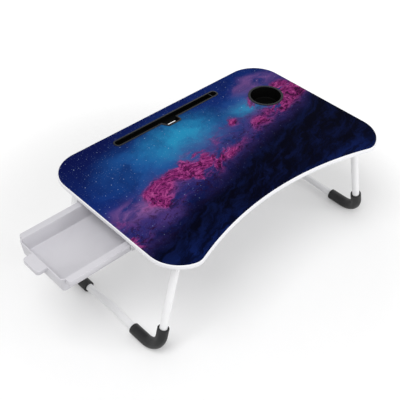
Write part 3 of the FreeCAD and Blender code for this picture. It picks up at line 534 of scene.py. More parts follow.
@dataclass(frozen=True)
class NebulaPrint:
    """A made-up pattern under a clear melamine face: long clouds of gas, dark dust and stars.

    Ovals are a middle, a reach and a colour, bands a middle and a reach, and ranges run
    from low to high and then, where they say so, from the lower to the higher result.
    """

    centre: Vector
    name: str = "printed_laminate"
    turn: float = -13.0
    swirl: Noise = Noise(1.3, 5.0, 0.6)
    push: tuple = (0.9, 0.55)

    deep: tuple = (0.003, 0.006, 0.062)
    blue: tuple = (0.006, 0.026, 0.17)
    bright: tuple = (0.013, 0.09, 0.3)
    glow: tuple = (0.02, 0.25, 0.46)
    mottle: Noise = Noise(1.4, 9.0, 0.66, 0.3)
    sky_band: tuple = (0.75, 1.75)
    sky_range: tuple = (0.25, 0.7, 0.4, 1.1)
    light_range: tuple = (0.3, 0.65, 0.5, 1.35)
    lights: tuple = (((-0.6, 0.75), (2.5, 1.2), bright), ((1.7, 0.8), (1.2, 0.7), bright),
                     ((-0.25, 0.95), (1.4, 0.8), glow), ((1.4, 0.75), (0.7, 0.4), glow))

    violet: tuple = (0.085, 0.04, 0.19)
    rose: tuple = (0.24, 0.1, 0.3)
    plum: tuple = (0.018, 0.003, 0.022)
    berry: tuple = (0.2, 0.015, 0.13)
    pink: tuple = (0.6, 0.12, 0.36)
    billow: Noise = Noise(1.5, 8.0, 0.64, 0.5)
    billow_squeeze: tuple = (0.75, 1.5)
    fine: Noise = Noise(10.0, 7.0, 0.8, 0.2)
    fine_squeeze: tuple = (0.9, 1.4)
    veil_band: tuple = (0.05, 0.95)
    veil_range: tuple = (0.3, 0.62)
    veil_share: float = 0.8
    hazes: tuple = (((-2.3, -0.2), (0.9, 0.42)), ((2.3, 1.35), (0.9, 0.4)))
    haze_range: tuple = (0.3, 0.6)
    knots: Noise = Noise(0.62)
    knot_range: tuple = (0.36, 0.56)
    body_band: tuple = (0.12, 0.62)
    body_range: tuple = (0.4, 0.56)
    body_edge: tuple = (0.06, 0.42)
    tones: tuple = ((0.38, plum), (0.5, berry), (0.7, pink))
    gap_band: tuple = (-0.2, 0.75)
    gap_range: tuple = (0.52, 0.38)
    gap_share: float = 0.9

    dark: tuple = (0.0008, 0.001, 0.006)
    slope: tuple = (0.003, 0.006, 0.035)
    near_blue: tuple = (0.005, 0.014, 0.09)
    folds: Noise = Noise(2.2, 9.0, 0.75, 0.4)
    fold_squeeze: tuple = (0.7, 2.4)
    fold_range: tuple = (0.44, 0.64)
    near_range: tuple = (-1.95, -1.25, 1.0, 0.0)
    near_folds: tuple = (0.38, 0.6, 0.15, 1.0)

    star: tuple = (0.55, 0.7, 1.0)
    star_layers: tuple = ((7.0, 0.075, 0.5), (18.0, 0.13, 0.7))
    far_star_share: float = 0.4
    front_range: tuple = (-0.8, -0.1, 1.0, 0.0)
    gloss: Noise = Noise(60.0, 3.0)
    gloss_range: tuple = (0.3, 0.7, 0.36, 0.44)
    specular: float = 0.008
    grain: Noise = Noise(160.0)
    grain_depth: float = 0.00002
    grain_strength: float = 0.4

    def sky(self, shader: PrintShader, height: Socket) -> Socket:
        """The blue behind the clouds, with lighter reaches towards the back.

        Args:
            shader: the material being built.
            height: how far across the clouds' run a place lies.

        Returns:
            The colour socket.
        """
        mottle = shader.noise(shader.drifted, self.mottle)
        wide = shader.product(shader.band(height, *self.sky_band), shader.step(mottle, *self.sky_range))
        colour = shader.mix(wide, self.deep, self.blue)
        for middle, reach, tone in self.lights:
            light = shader.product(shader.oval(middle, reach), shader.step(mottle, *self.light_range))
            colour = shader.mix(light, colour, tone)
        return colour

    def gas(self, shader: PrintShader, height: Socket, under: Socket) -> Socket:
        """The long clouds: a violet veil, and in it berry-red billows that end in pink.

        Args:
            shader: the material being built.
            height: how far across the clouds' run a place lies.
            under: the colour of the sky behind them.

        Returns:
            The colour socket.
        """
        billow = shader.noise(shader.streaks(self.turn, self.billow_squeeze), self.billow)
        fine = shader.noise(shader.streaks(self.turn, self.fine_squeeze), self.fine)
        veil = shader.product(shader.band(height, *self.veil_band), shader.step(billow, *self.veil_range),
                              self.veil_share)
        colour = shader.mix(veil, under, self.violet)
        for middle, reach in self.hazes:
            haze = shader.product(shader.oval(middle, reach), shader.step(billow, *self.haze_range))
            colour = shader.mix(haze, colour, self.rose)
        body = shader.product(shader.band(height, *self.body_band),
                              shader.step(shader.noise(shader.where, self.knots), *self.knot_range),
                              shader.step(billow, *self.body_range))
        colour = shader.mix(shader.step(body, *self.body_edge), colour, shader.ramp(fine, self.tones))
        gaps = shader.product(shader.band(height, *self.gap_band), shader.step(fine, *self.gap_range),
                              self.gap_share)
        return shader.mix(gaps, colour, self.plum)

    def front(self, shader: PrintShader) -> Socket:
        """The dark dust along the front, with faint blue folds.

        Args:
            shader: the material being built.

        Returns:
            The colour socket.
        """
        folds = shader.noise(shader.streaks(self.turn * 2, self.fold_squeeze), self.folds)
        colour = shader.mix(shader.step(folds, *self.fold_range), self.dark, self.slope)
        depth = shader.add("SeparateXYZ", {0: shader.drifted}).outputs["Y"]
        near = shader.product(shader.step(depth, *self.near_range), shader.step(folds, *self.near_folds))
        return shader.mix(near, colour, self.near_blue)

    def material(self) -> Material:
        """Builds the material.

        Returns:
            The material.
        """
        shader = PrintShader(self.name, self.centre, self.swirl, self.push)
        height = shader.add("SeparateXYZ", {0: shader.streaks(self.turn)}).outputs["Y"]
        near_stars, far_stars = (shader.stars(*layer) for layer in self.star_layers)
        stars = shader.math("ADD", near_stars, shader.product(far_stars, self.far_star_share))
        colour = shader.mix(stars, self.sky(shader, height), self.star)
        colour = self.gas(shader, height, colour)
        shade = shader.step(height, *self.front_range)
        shader.set(Base_Color=shader.mix(shade, colour, self.front(shader)),
                   Roughness=shader.step(shader.noise(shader.where, self.gloss), *self.gloss_range),
                   Specular_IOR_Level=self.specular)
        shader.bump(shader.noise(shader.where, self.grain), self.grain_depth, self.grain_strength)
        return shader.material


# Shapes.

def link(name: str, data: bpy.types.ID) -> Piece:
    """Puts a mesh, lamp or camera into the scene.

    Args:
        name: the object's name.
        data: the mesh, lamp or camera.

    Returns:
        The object.
    """
    piece = bpy.data.objects.new(name, data)
    bpy.context.scene.collection.objects.link(piece)
    return piece


def aim(thing: Piece, place: Vector, look: Vector) -> None:
    """Puts a lamp or the camera at a place and turns it to look a given way."""
    thing.location = place
    thing.rotation_euler = look.to_track_quat("-Z", "Y").to_euler()


def from_bmesh(name: str, shape: bmesh.types.BMesh, sharp: float) -> Piece:
    """Makes a piece of a bmesh, with faces outwards, smooth but for its sharp edges.

    Args:
        name: the piece's name.
        shape: the bmesh, which is freed.
        sharp: the least angle between two faces that counts as a sharp edge, in degrees.

    Returns:
        The piece.
    """
    bmesh.ops.recalc_face_normals(shape, faces=shape.faces)
    for face in shape.faces:
        face.smooth = True
    limit = math.radians(sharp)
    for edge in shape.edges:
        edge.smooth = len(edge.link_faces) == 2 and edge.calc_face_angle(0.0) < limit
    mesh = bpy.data.meshes.new(name)
    shape.to_mesh(mesh)
    shape.free()
    return link(name, mesh)


def stitch(shape: bmesh.types.BMesh, rings: list) -> None:
    """Joins rings of corners, one after another, by faces.

    Args:
        shape: the bmesh.
        rings: lists of corners, all as long, or a list of one corner for a pole.
    """
    for first, second in zip(rings, rings[1:]):
        count = max(len(first), len(second))
        for index in range(count):
            after = (index + 1) % count
            corners = [first[index % len(first)], first[after % len(first)],
                       second[after % len(second)], second[index % len(second)]]
            shape.faces.new(list(dict.fromkeys(corners)))


def rings_to_piece(name: str, rings: list, closed: bool, sharp: float = 40.0) -> Piece:
    """Joins rings of points, one after another, into a surface.

    Args:
        name: the piece's name.
        rings: lists of points, all as long, or a list of one point for a pole.
        closed: True if the last ring meets the first one.
        sharp: the least angle of a sharp edge, in degrees.

    Returns:
        The piece.
    """
    shape = bmesh.new()
    made = [[shape.verts.new(point) for point in ring] for ring in rings]
    stitch(shape, made + made[:1] if closed else made)
    return from_bmesh(name, shape, sharp)


def lathe(name: str, profile: list, centre: Vector, sides: int, axis: Vector = UP) -> Piece:
    """Turns a profile about an axis.

    Args:
        name: the piece's name.
        profile: pairs of radius and height along the axis.
        centre: where height zero lies.
        sides: how many sides a turn has.
        axis: the axis of the turn.

    Returns:
        The piece.
    """
    turn = UP.rotation_difference(axis)
    rings = []
    for radius, height in profile:
        steps = sides if radius > 0.0 else 1
        angles = [math.tau * step / steps for step in range(steps)]
        points = [Vector((radius * math.cos(angle), radius * math.sin(angle), height)) for angle in angles]
        rings.append([centre + turn @ point for point in points])
    return rings_to_piece(name, rings, False)


def arc(centre: tuple, radius: float, start: float, end: float, steps: int) -> list:
    """Points on an arc, both ends included.

    Args:
        centre: the arc's centre.
        radius: its radius.
        start: the angle of its first point, in degrees.
        end: the angle of its last point, in degrees.
        steps: how many pieces it is cut into.

    Returns:
        The points.
    """
    angles = [math.radians(start + (end - start) * step / steps) for step in range(steps + 1)]
    x, y = centre
    return [(x + radius * math.cos(angle), y + radius * math.sin(angle)) for angle in angles]


def rounded_route(corners: list, turn_step: float) -> list:
    """Points along straight runs joined by round bends.

    Args:
        corners: a point and a bend radius each; the first and the last radius don't matter.
        turn_step: the turn between two points of a bend, in degrees.

    Returns:
        The points.
    """
    points = [corners[0][0].copy()]
    for (before, _), (corner, radius), (after, _) in zip(corners, corners[1:], corners[2:]):
        back = (before - corner).normalized()
        ahead = (after - corner).normalized()
        half = back.angle(ahead) / 2
        reach = radius / math.tan(half)
        centre = corner + (back + ahead).normalized() * (radius / math.sin(half))
        start = corner + back * reach - centre
        end = corner + ahead * reach - centre
        turn = start.angle(end)
        steps = max(2, round(math.degrees(turn) / turn_step))
        for share in (step / steps for step in range(steps + 1)):
            spoke = start * math.sin((1 - share) * turn) + end * math.sin(share * turn)
            points.append(centre + spoke / math.sin(turn))
    points.append(corners[-1][0].copy())
    return points


def polyline(name: str, points: list) -> Piece:
    """A piece of single edges through points.

    Args:
        name: the piece's name.
        points: the points, in order.

    Returns:
        The piece.
    """
    mesh = bpy.data.meshes.new(name)
    mesh.from_pydata(points, [(index, index + 1) for index in range(len(points) - 1)], [])
    return link(name, mesh)


def plain(piece: Piece) -> Piece:
    """Turns a piece with live modifiers into a plain mesh.

    Args:
        piece: the piece.

    Returns:
        The same piece.
    """
    graph = bpy.context.evaluated_depsgraph_get()
    mesh = bpy.data.meshes.new_from_object(piece.evaluated_get(graph), depsgraph=graph)
    piece.modifiers.clear()
    piece.data = mesh
    mesh.name = piece.name
    return piece


@dataclass(frozen=True)
class EdgeRounding:
    """Rounds the sharp edges of a moulding or pressing in a copy of its CAD node.

    Faces that turn less than flat are merged first, and edges that turn more than sharp
    are rounded. Both are in degrees.
    """

    width: float
    steps: int = 2
    sharp: float = 42.0
    flat: float = 0.5
    merge_share: float = 0.002

    def copy(self, node: str, name: str) -> Piece:
        """Makes the copy.

        Args:
            node: the CAD node.
            name: the new piece's name.

        Returns:
            The piece, as a plain mesh.
        """
        shape = bmesh.new()
        shape.from_mesh(frame["nodes"][node].data)
        bmesh.ops.remove_doubles(shape, verts=shape.verts, dist=self.width * self.merge_share)
        bmesh.ops.dissolve_limit(
            shape, angle_limit=math.radians(self.flat), verts=shape.verts, edges=shape.edges)
        piece = from_bmesh(name, shape, 180.0)
        bevel = piece.modifiers.new("edge_rounding", "BEVEL")
        bevel.width = self.width
        bevel.segments = self.steps
        bevel.limit_method = "ANGLE"
        bevel.angle_limit = math.radians(self.sharp)
        bevel.use_clamp_overlap = False
        bevel.harden_normals = True
        return plain(piece)


class GeometryTree(Nodes):
    """A geometry node tree with named inputs, run on a piece as a modifier that is then removed."""

    prefix = ""

    def __init__(self, name: str, inputs: dict) -> None:
        """Starts the tree.

        Args:
            name: the tree's name.
            inputs: each input's name and its socket type, without the NodeSocket prefix.
        """
        super().__init__(bpy.data.node_groups.new(name, "GeometryNodeTree"))
        sockets = self.tree.interface
        sockets.new_socket("Geometry", in_out="INPUT", socket_type="NodeSocketGeometry")
        sockets.new_socket("Geometry", in_out="OUTPUT", socket_type="NodeSocketGeometry")
        self.keys = {key: sockets.new_socket(key, in_out="INPUT", socket_type="NodeSocket" + kind).identifier
                     for key, kind in inputs.items()}
        self.inputs = self.add("NodeGroupInput")
        self.outputs = self.add("NodeGroupOutput")

    def join(self, value: Value | str, socket: Socket) -> None:
        """Joins a value as for all nodes; a word stands for the tree's input of that name."""
        super().join(self.inputs.outputs[value] if isinstance(value, str) else value, socket)

    def end(self, geometry: Socket) -> None:
        """Ends the tree in Realize Instances and Set Material.

        Args:
            geometry: what the tree has made.
        """
        real = self.add("GeometryNodeRealizeInstances", {0: geometry}).outputs[0]
        paint = self.add("GeometryNodeSetMaterial", {"Geometry": real, "Material": "Material"})
        self.join(paint.outputs[0], self.outputs.inputs[0])

    def run(self, piece: Piece, **values: object) -> Piece:
        """Runs the tree on a piece.

        Args:
            piece: the piece whose mesh goes in.
            values: the tree's inputs, by their names in small letters.

        Returns:
            The piece, as a plain mesh without the modifier.
        """
        modifier = piece.modifiers.new(self.tree.name, "NODES")
        modifier.node_group = self.tree
        for key, value in values.items():
            modifier[self.keys[key.capitalize()]] = value
        piece.update_tag()
        bpy.context.view_layer.update()
        return plain(piece)


def tube_tree() -> GeometryTree:
    """A round bar along a route of edges, with closed ends.

    Returns:
        The tree.
    """
    tree = GeometryTree("tube_on_route", {"Radius": "Float", "Sides": "Int", "Material": "Material"})
    route = tree.add("GeometryNodeMeshToCurve", {0: "Geometry"}).outputs[0]
    ring = tree.add("GeometryNodeCurvePrimitiveCircle", {"Resolution": "Sides", "Radius": "Radius"})
    tube = tree.add("GeometryNodeCurveToMesh", {
        "Curve": route, "Profile Curve": ring.outputs[0], "Fill Caps": True})
    tree.end(tree.add("GeometryNodeSetShadeSmooth", {"Geometry": tube.outputs[0]}).outputs[0])
    return tree


def fastener_tree() -> GeometryTree:
    """One pattern piece set at each point of a mesh, each turned at random about its axis.

    Returns:
        The tree.
    """
    float_maximum, float_result = 3, 1
    tree = GeometryTree("fasteners_at_points", {
        "Pattern": "Object", "Axis": "Vector", "Seed": "Int", "Material": "Material"})
    pattern = tree.add("GeometryNodeObjectInfo", {"Object": "Pattern"}).outputs["Geometry"]
    chance = tree.add("FunctionNodeRandomValue", {float_maximum: math.tau, "Seed": "Seed"}, data_type="FLOAT")
    turn = tree.add("FunctionNodeAxisAngleToRotation", {
        "Axis": "Axis", "Angle": chance.outputs[float_result]})
    copies = tree.add("GeometryNodeInstanceOnPoints", {
        "Points": "Geometry", "Instance": pattern, "Rotation": turn.outputs[0]})
    tree.end(copies.outputs[0])
    return tree


def dress(piece: Piece, finishes: dict, slot: str, body: str, *nodes: str) -> None:
    """Paints a finished piece, puts it on its body and hides the CAD nodes that it stands for.

    Args:
        piece: the piece.
        finishes: the materials, by slot.
        slot: the record's material slot.
        body: the CAD body that it moves with.
        nodes: the CAD nodes that it stands for.
    """
    piece.data.materials.clear()
    piece.data.materials.append(finishes[slot])
    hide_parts(*nodes)
    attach(piece, body)
    log.info("%s: %d faces, rides on %s", piece.name, len(piece.data.polygons), body)


def finish_above(piece: Piece, height: float, material: Material) -> None:
    """Gives the faces of a piece above a height a finish of their own.

    Args:
        piece: the piece.
        height: the height.
        material: the second finish.
    """
    piece.data.materials.append(material)
    for face in piece.data.polygons:
        face.material_index = int(face.center.z > height)


def paint_node(node: str, material: Material) -> None:
    """Gives a CAD node that stays in view its material.

    Args:
        node: the CAD node.
        material: the material.
    """
    slots = frame["nodes"][node].data.materials
    slots.clear()
    slots.append(material)
    log.info("%s: CAD node with its own material", node)


# The board and what is set into it.

@dataclass
class Board:
    """The board: printed face, core, underside and the white edge band.

    The band stands a hair proud of its CAD node, and its tuck reaches into the core.
    """

    band_depth: float = 0.002
    band_round: float = 0.0015
    lower_round: float = 0.0036
    round_steps: int = 6
    back_corner_radius: float = 0.0705
    side_corner_radius: float = 0.074
    nose_radius: float = 0.032
    nose_inset: float = 0.06
    belly_depth: float = 0.0436
    tuck: float = 0.00025
    proud: float = 0.00003
    arc_steps: int = 40

    def __post_init__(self) -> None:
        """Reads the board's size and place from the frame."""
        self.low, self.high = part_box("edge_band")
        self.centre = (self.low + self.high) / 2
        self.half_length = (self.high.x - self.low.x) / 2
        self.half_depth = (self.high.y - self.low.y) / 2

    def outline(self, inset: float, height: float) -> list:
        """The board's outline, moved in, always with as many points.

        Args:
            inset: how far the outline is moved in.
            height: where it lies along Z.

        Returns:
            The points, once round.
        """
        back = (self.half_length - self.back_corner_radius, self.half_depth - self.back_corner_radius)
        nose_x = self.half_length - self.nose_inset
        nose_y = self.nose_radius - self.half_depth
        belly_radius = (nose_x ** 2 + self.belly_depth ** 2) / (2 * self.belly_depth) - self.nose_radius
        belly_y = self.belly_depth - self.half_depth - belly_radius
        side_x = self.half_length - self.side_corner_radius
        reach = self.side_corner_radius - self.nose_radius
        side_y = nose_y + math.sqrt(reach ** 2 - (nose_x - side_x) ** 2)
        to_nose = math.degrees(math.atan2(nose_y - side_y, nose_x - side_x))
        to_belly = math.degrees(math.atan2(belly_y - nose_y, -nose_x))
        from_belly = math.degrees(math.atan2(nose_y - belly_y, nose_x))
        steps = self.arc_steps
        right = arc(back, self.back_corner_radius - inset, 90.0, 0.0, steps)
        right += arc((side_x, side_y), self.side_corner_radius - inset, 0.0, to_nose, steps)
        right += arc((nose_x, nose_y), self.nose_radius - inset, to_nose, to_belly, steps)[1:]
        right += arc((0.0, belly_y), belly_radius + inset, from_belly, 90.0, steps)[1:]
        left = [(-x, y) for x, y in reversed(right[:-1])]
        return [Vector((self.centre.x + x, self.centre.y + y, height)) for x, y in right + left]

    def edge_band(self) -> Piece:
        """The band: a profile carried round the outline, with a long round at its lower edge.

        Returns:
            The piece.
        """
        top = self.high.z + self.proud
        bottom = self.low.z - self.proud
        inner = self.band_depth + self.tuck
        profile = [(inner, top - 2 * self.proud), (self.band_depth, top)]
        profile += arc((self.band_round, top - self.band_round), self.band_round, 90.0, 180.0,
                       self.round_steps)
        profile += [(self.band_depth * x, bottom + self.lower_round * z)
                    for x, z in arc((1.0, 1.0), 1.0, 180.0, 270.0, self.round_steps)]
        profile.append((inner, bottom + 2 * self.proud))
        rings = [self.outline(inset, height) for inset, height in profile]
        return rings_to_piece("edge_band_moulding", rings, True)

    def build(self, finishes: dict) -> None:
        """Makes and dresses the board.

        Args:
            finishes: the materials, by slot.
        """
        paint_node("printed_top_sheet", NebulaPrint(self.centre).material())
        paint_node("board_core", Fibreboard().material())
        paint_node("underside_sheet", BackingLaminate().material())
        dress(self.edge_band(), finishes, "edge_band_plastic", "table", "edge_band")


@dataclass
class CupHolder:
    """The moulded cup that is set into the board."""

    wall: float = 0.0018
    flange_thickness: float = 0.0014
    top_radius: float = 0.036
    bottom_radius: float = 0.0335
    floor_round: float = 0.005
    lip_round: float = 0.0006
    lip_tuck_share: float = 0.3
    lip_steps: int = 4
    wall_angle: float = 355.0
    round_steps: int = 8
    sides: int = 128

    def build(self, finishes: dict) -> None:
        """Makes and dresses the cup, with a glossier flange whose slightly lighter colour is painted sheen.

        Args:
            finishes: the materials, by slot.
        """
        low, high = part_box("cup_holder")
        centre = (low + high) / 2
        centre.z = 0.0
        flange = (high.x - low.x) / 2
        seat = high.z - self.flange_thickness
        floor = low.z + self.wall
        inner_round = self.floor_round - self.wall
        lip = self.lip_round
        top = high.z - lip
        profile = [(0.0, low.z)]
        profile += arc((self.bottom_radius - self.floor_round, low.z + self.floor_round),
                       self.floor_round, 270.0, self.wall_angle, self.round_steps)
        profile += [(self.top_radius, seat), (flange - lip * self.lip_tuck_share, seat)]
        profile += arc((flange - lip, top), lip, 0.0, 90.0, self.lip_steps)
        profile += arc((self.top_radius - self.wall + lip, top), lip, 90.0, 180.0, self.lip_steps)
        profile += arc((self.bottom_radius - self.wall - inner_round, floor + inner_round),
                       inner_round, self.wall_angle, 270.0, self.round_steps)
        profile += [(0.0, floor)]
        cup = lathe("cup_recess", profile, centre, self.sides)
        dress(cup, finishes, "black_plastic", "table", "cup_holder")
        # The flange's top faces get a glossier black; its slightly lighter, bluer colour is painted sheen.
        finish_above(cup, seat, finishes["polished_lip"])


@dataclass
class TabletSlot:
    """The moulded groove that holds a tablet on edge."""

    rounding: EdgeRounding = EdgeRounding(0.00035)
    rib_margin: float = 0.0002

    def build(self, finishes: dict) -> None:
        """Makes and dresses the slot insert, with a glossier lip and cross rib whose slightly lighter colour
        is painted sheen.

        Args:
            finishes: the materials, by slot.
        """
        slot = self.rounding.copy("tablet_slot_insert", "tablet_groove")
        dress(slot, finishes, "black_plastic", "table", "tablet_slot_insert")
        # The lip and rib tops get a glossier black; its slightly lighter, bluer colour is painted sheen.
        finish_above(slot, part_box("printed_top_sheet")[1].z - self.rib_margin, finishes["polished_lip"])


# The legs.

@dataclass
class FoldingLeg:
    """One leg: a bent tube, two foot sleeves and two plugs.

    Angles and turn steps are in degrees, but for the splay.
    """

    side: Side
    splay: float = math.radians(14.0)
    tube_radius: float = 0.008
    tube_overshoot: float = 0.0065
    bend_radius: float = 0.041
    arch_rise: float = 0.004
    arch_span: float = 0.13
    arch_crown: float = 0.044
    arch_foot_radius: float = 0.15
    arch_crown_radius: float = 0.4
    tube_turn_step: float = 3.0
    tube_sides: int = 48
    sleeve_wall: float = 0.004
    sleeve_fit: float = 0.0001
    sleeve_post_reach: float = 0.061
    sleeve_bar_reach: float = 0.078
    sleeve_round: float = 0.0014
    sleeve_round_steps: int = 5
    sleeve_turn_step: float = 4.0
    sleeve_sides: int = 44
    sleeve_sharp: float = 60.0
    seam_height: float = 0.00025
    seam_half_angle: float = 2.5
    seam_shares: tuple = ((-1.0, 0.0), (-0.4, 0.8), (0.4, 0.8), (1.0, 0.0))
    plug_flange: float = 0.001
    plug_crown: float = 0.0006
    plug_crown_steps: int = 4
    plug_depth: float = 0.0032
    plug_wall: float = 0.0016
    plug_seed: int = 3

    def __post_init__(self) -> None:
        """Reads the hinge's place from the frame."""
        self.body = self.side.word + "_leg"
        joint = [joint for joint in frame["joints"] if joint["name"] == self.body + "_fold"][0]
        low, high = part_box(self.body + "_tube")
        self.hinge = Vector(joint["pos_m"])
        self.hinge.y = (low.y + high.y) / 2
        self.post_y = (high.y - low.y) / 2 - self.tube_radius
        self.low = -(self.hinge.z - self.tube_radius - self.sleeve_wall) / math.cos(self.splay)
        self.down = Vector((self.side.value * math.sin(self.splay), 0.0, -math.cos(self.splay)))

    def point(self, across: float, along: float) -> Vector:
        """The place in the frame of a point of the leg's plane, from its distances along Y and up the leg."""
        return self.hinge + Vector((0.0, across, 0.0)) - self.down * along

    def tube(self, tree: GeometryTree, paint: Material) -> Piece:
        """The bent tube, swept along its route.

        Args:
            tree: the tree that sweeps it.
            paint: its material.

        Returns:
            The piece.
        """
        foot = (self.arch_span, 0.0, self.arch_foot_radius)
        crown = (self.arch_crown, self.arch_rise, self.arch_crown_radius)
        corners = [(self.point(-self.post_y, self.tube_overshoot), 0.0),
                   (self.point(-self.post_y, self.low), self.bend_radius)]
        for sign, (span, rise, radius) in ((-1, foot), (-1, crown), (1, crown), (1, foot)):
            corners.append((self.point(sign * span / 2, self.low + rise), radius))
        corners += [(self.point(self.post_y, self.low), self.bend_radius),
                    (self.point(self.post_y, self.tube_overshoot), 0.0)]
        route = polyline(self.side.word + "_bent_tube", rounded_route(corners, self.tube_turn_step))
        return tree.run(route, radius=self.tube_radius, sides=self.tube_sides, material=paint)

    def sleeve_angles(self) -> list:
        """The angles round a sleeve, with the height of the moulding seam at each.

        Returns:
            Pairs of angle and height, in order.
        """
        angles = [(math.tau * (step + 0.5) / self.sleeve_sides, 0.0) for step in range(self.sleeve_sides)]
        for middle in (0.0, 180.0):
            for shift, share in self.seam_shares:
                angle = math.radians(middle + shift * self.seam_half_angle) % math.tau
                angles.append((angle, share * self.seam_height))
        return sorted(angles)

    def sleeve(self, end: End) -> Piece:
        """A rubber sleeve round one bottom bend, open at both ends.

        Args:
            end: the post that it is on.

        Returns:
            The piece.
        """
        outer = self.tube_radius + self.sleeve_wall
        inner = self.tube_radius + self.sleeve_fit
        across = self.post_y * end.value
        bar_end = (self.post_y - self.sleeve_bar_reach) * end.value
        route = rounded_route([(self.point(across, self.low + self.sleeve_post_reach), 0.0),
                               (self.point(across, self.low), self.bend_radius),
                               (self.point(bar_end, self.low), 0.0)], self.sleeve_turn_step)
        around = zip(route[:1] + route[:-1], route, route[1:] + route[-1:])
        stations = [(centre, (after - before).normalized()) for before, centre, after in around]
        normal = self.down.cross(ALONG_Y).normalized()
        angles = self.sleeve_angles()

        def ring(station: tuple, radius: float, seam: float = 0.0, shift: float = 0.0) -> list:
            """One ring of points.

            Args:
                station: a point of the route and the route's direction there.
                radius: the ring's radius.
                seam: the share of the seam's height that shows on it.
                shift: how far it is moved along the route.

            Returns:
                The points.
            """
            centre, tangent = station
            side = tangent.cross(normal)
            return [centre + tangent * shift + (side * math.cos(angle) + normal * math.sin(angle))
                    * (radius + height * seam) for angle, height in angles]

        rings = [ring(station, inner) for station in reversed(stations)]
        rounding = arc((self.sleeve_round, outer - self.sleeve_round), self.sleeve_round, 180.0, 90.0,
                       self.sleeve_round_steps)
        rings += [ring(stations[0], radius, 0.0, along) for along, radius in rounding]
        rings += [ring(station, outer, 1.0) for station in stations[1:-1]]
        rings += [ring(stations[-1], radius, 0.0, -along) for along, radius in reversed(rounding)]
        return rings_to_piece("%s_%s_sleeve" % (self.side.word, end.word), rings, True, self.sleeve_sharp)

    def plugs(self, tree: GeometryTree, plastic: Material) -> Piece:
        """Both plugs, set on the tube's upper ends.

        Args:
            tree: the tree that sets them.
            plastic: their material.

        Returns:
            The piece.
        """
        radius, depth, crown = self.tube_radius, self.plug_depth, self.plug_crown
        spigot = radius - self.plug_wall
        profile = [(0.0, -depth), (spigot, -depth), (spigot, 0.0), (radius, 0.0)]
        profile += arc((radius - crown, self.plug_flange - crown), crown, 0.0, 90.0, self.plug_crown_steps)
        profile += [(0.0, self.plug_flange)]
        pattern = lathe("plug_pattern", profile, Vector(), self.tube_sides, -self.down)
        places = [self.point(self.post_y * end.value, self.tube_overshoot) for end in End]
        plugs = tree.run(polyline(self.side.word + "_plugs", places), pattern=pattern, axis=-self.down,
                         seed=self.plug_seed, material=plastic)
        bpy.data.objects.remove(pattern)
        return plugs

    def build(self, tubes: GeometryTree, fasteners: GeometryTree, finishes: dict) -> None:
        """Makes and dresses the leg.

        Args:
            tubes: the tree that sweeps the tube.
            fasteners: the tree that sets the plugs.
            finishes: the materials, by slot.
        """
        tube = self.tube(tubes, finishes["white_steel"])
        dress(tube, finishes, "white_steel", self.body, self.body + "_tube")
        names = ["%s_%s" % (self.side.word, end.word) for end in End]
        for end, name in zip(End, names):
            dress(self.sleeve(end), finishes, "foot_rubber", self.body, name + "_foot_sleeve")
        plugs = self.plugs(fasteners, finishes["plug_plastic"])
        dress(plugs, finishes, "plug_plastic", self.body, *[name + "_tube_plug" for name in names])


# Hinge brackets and fasteners.

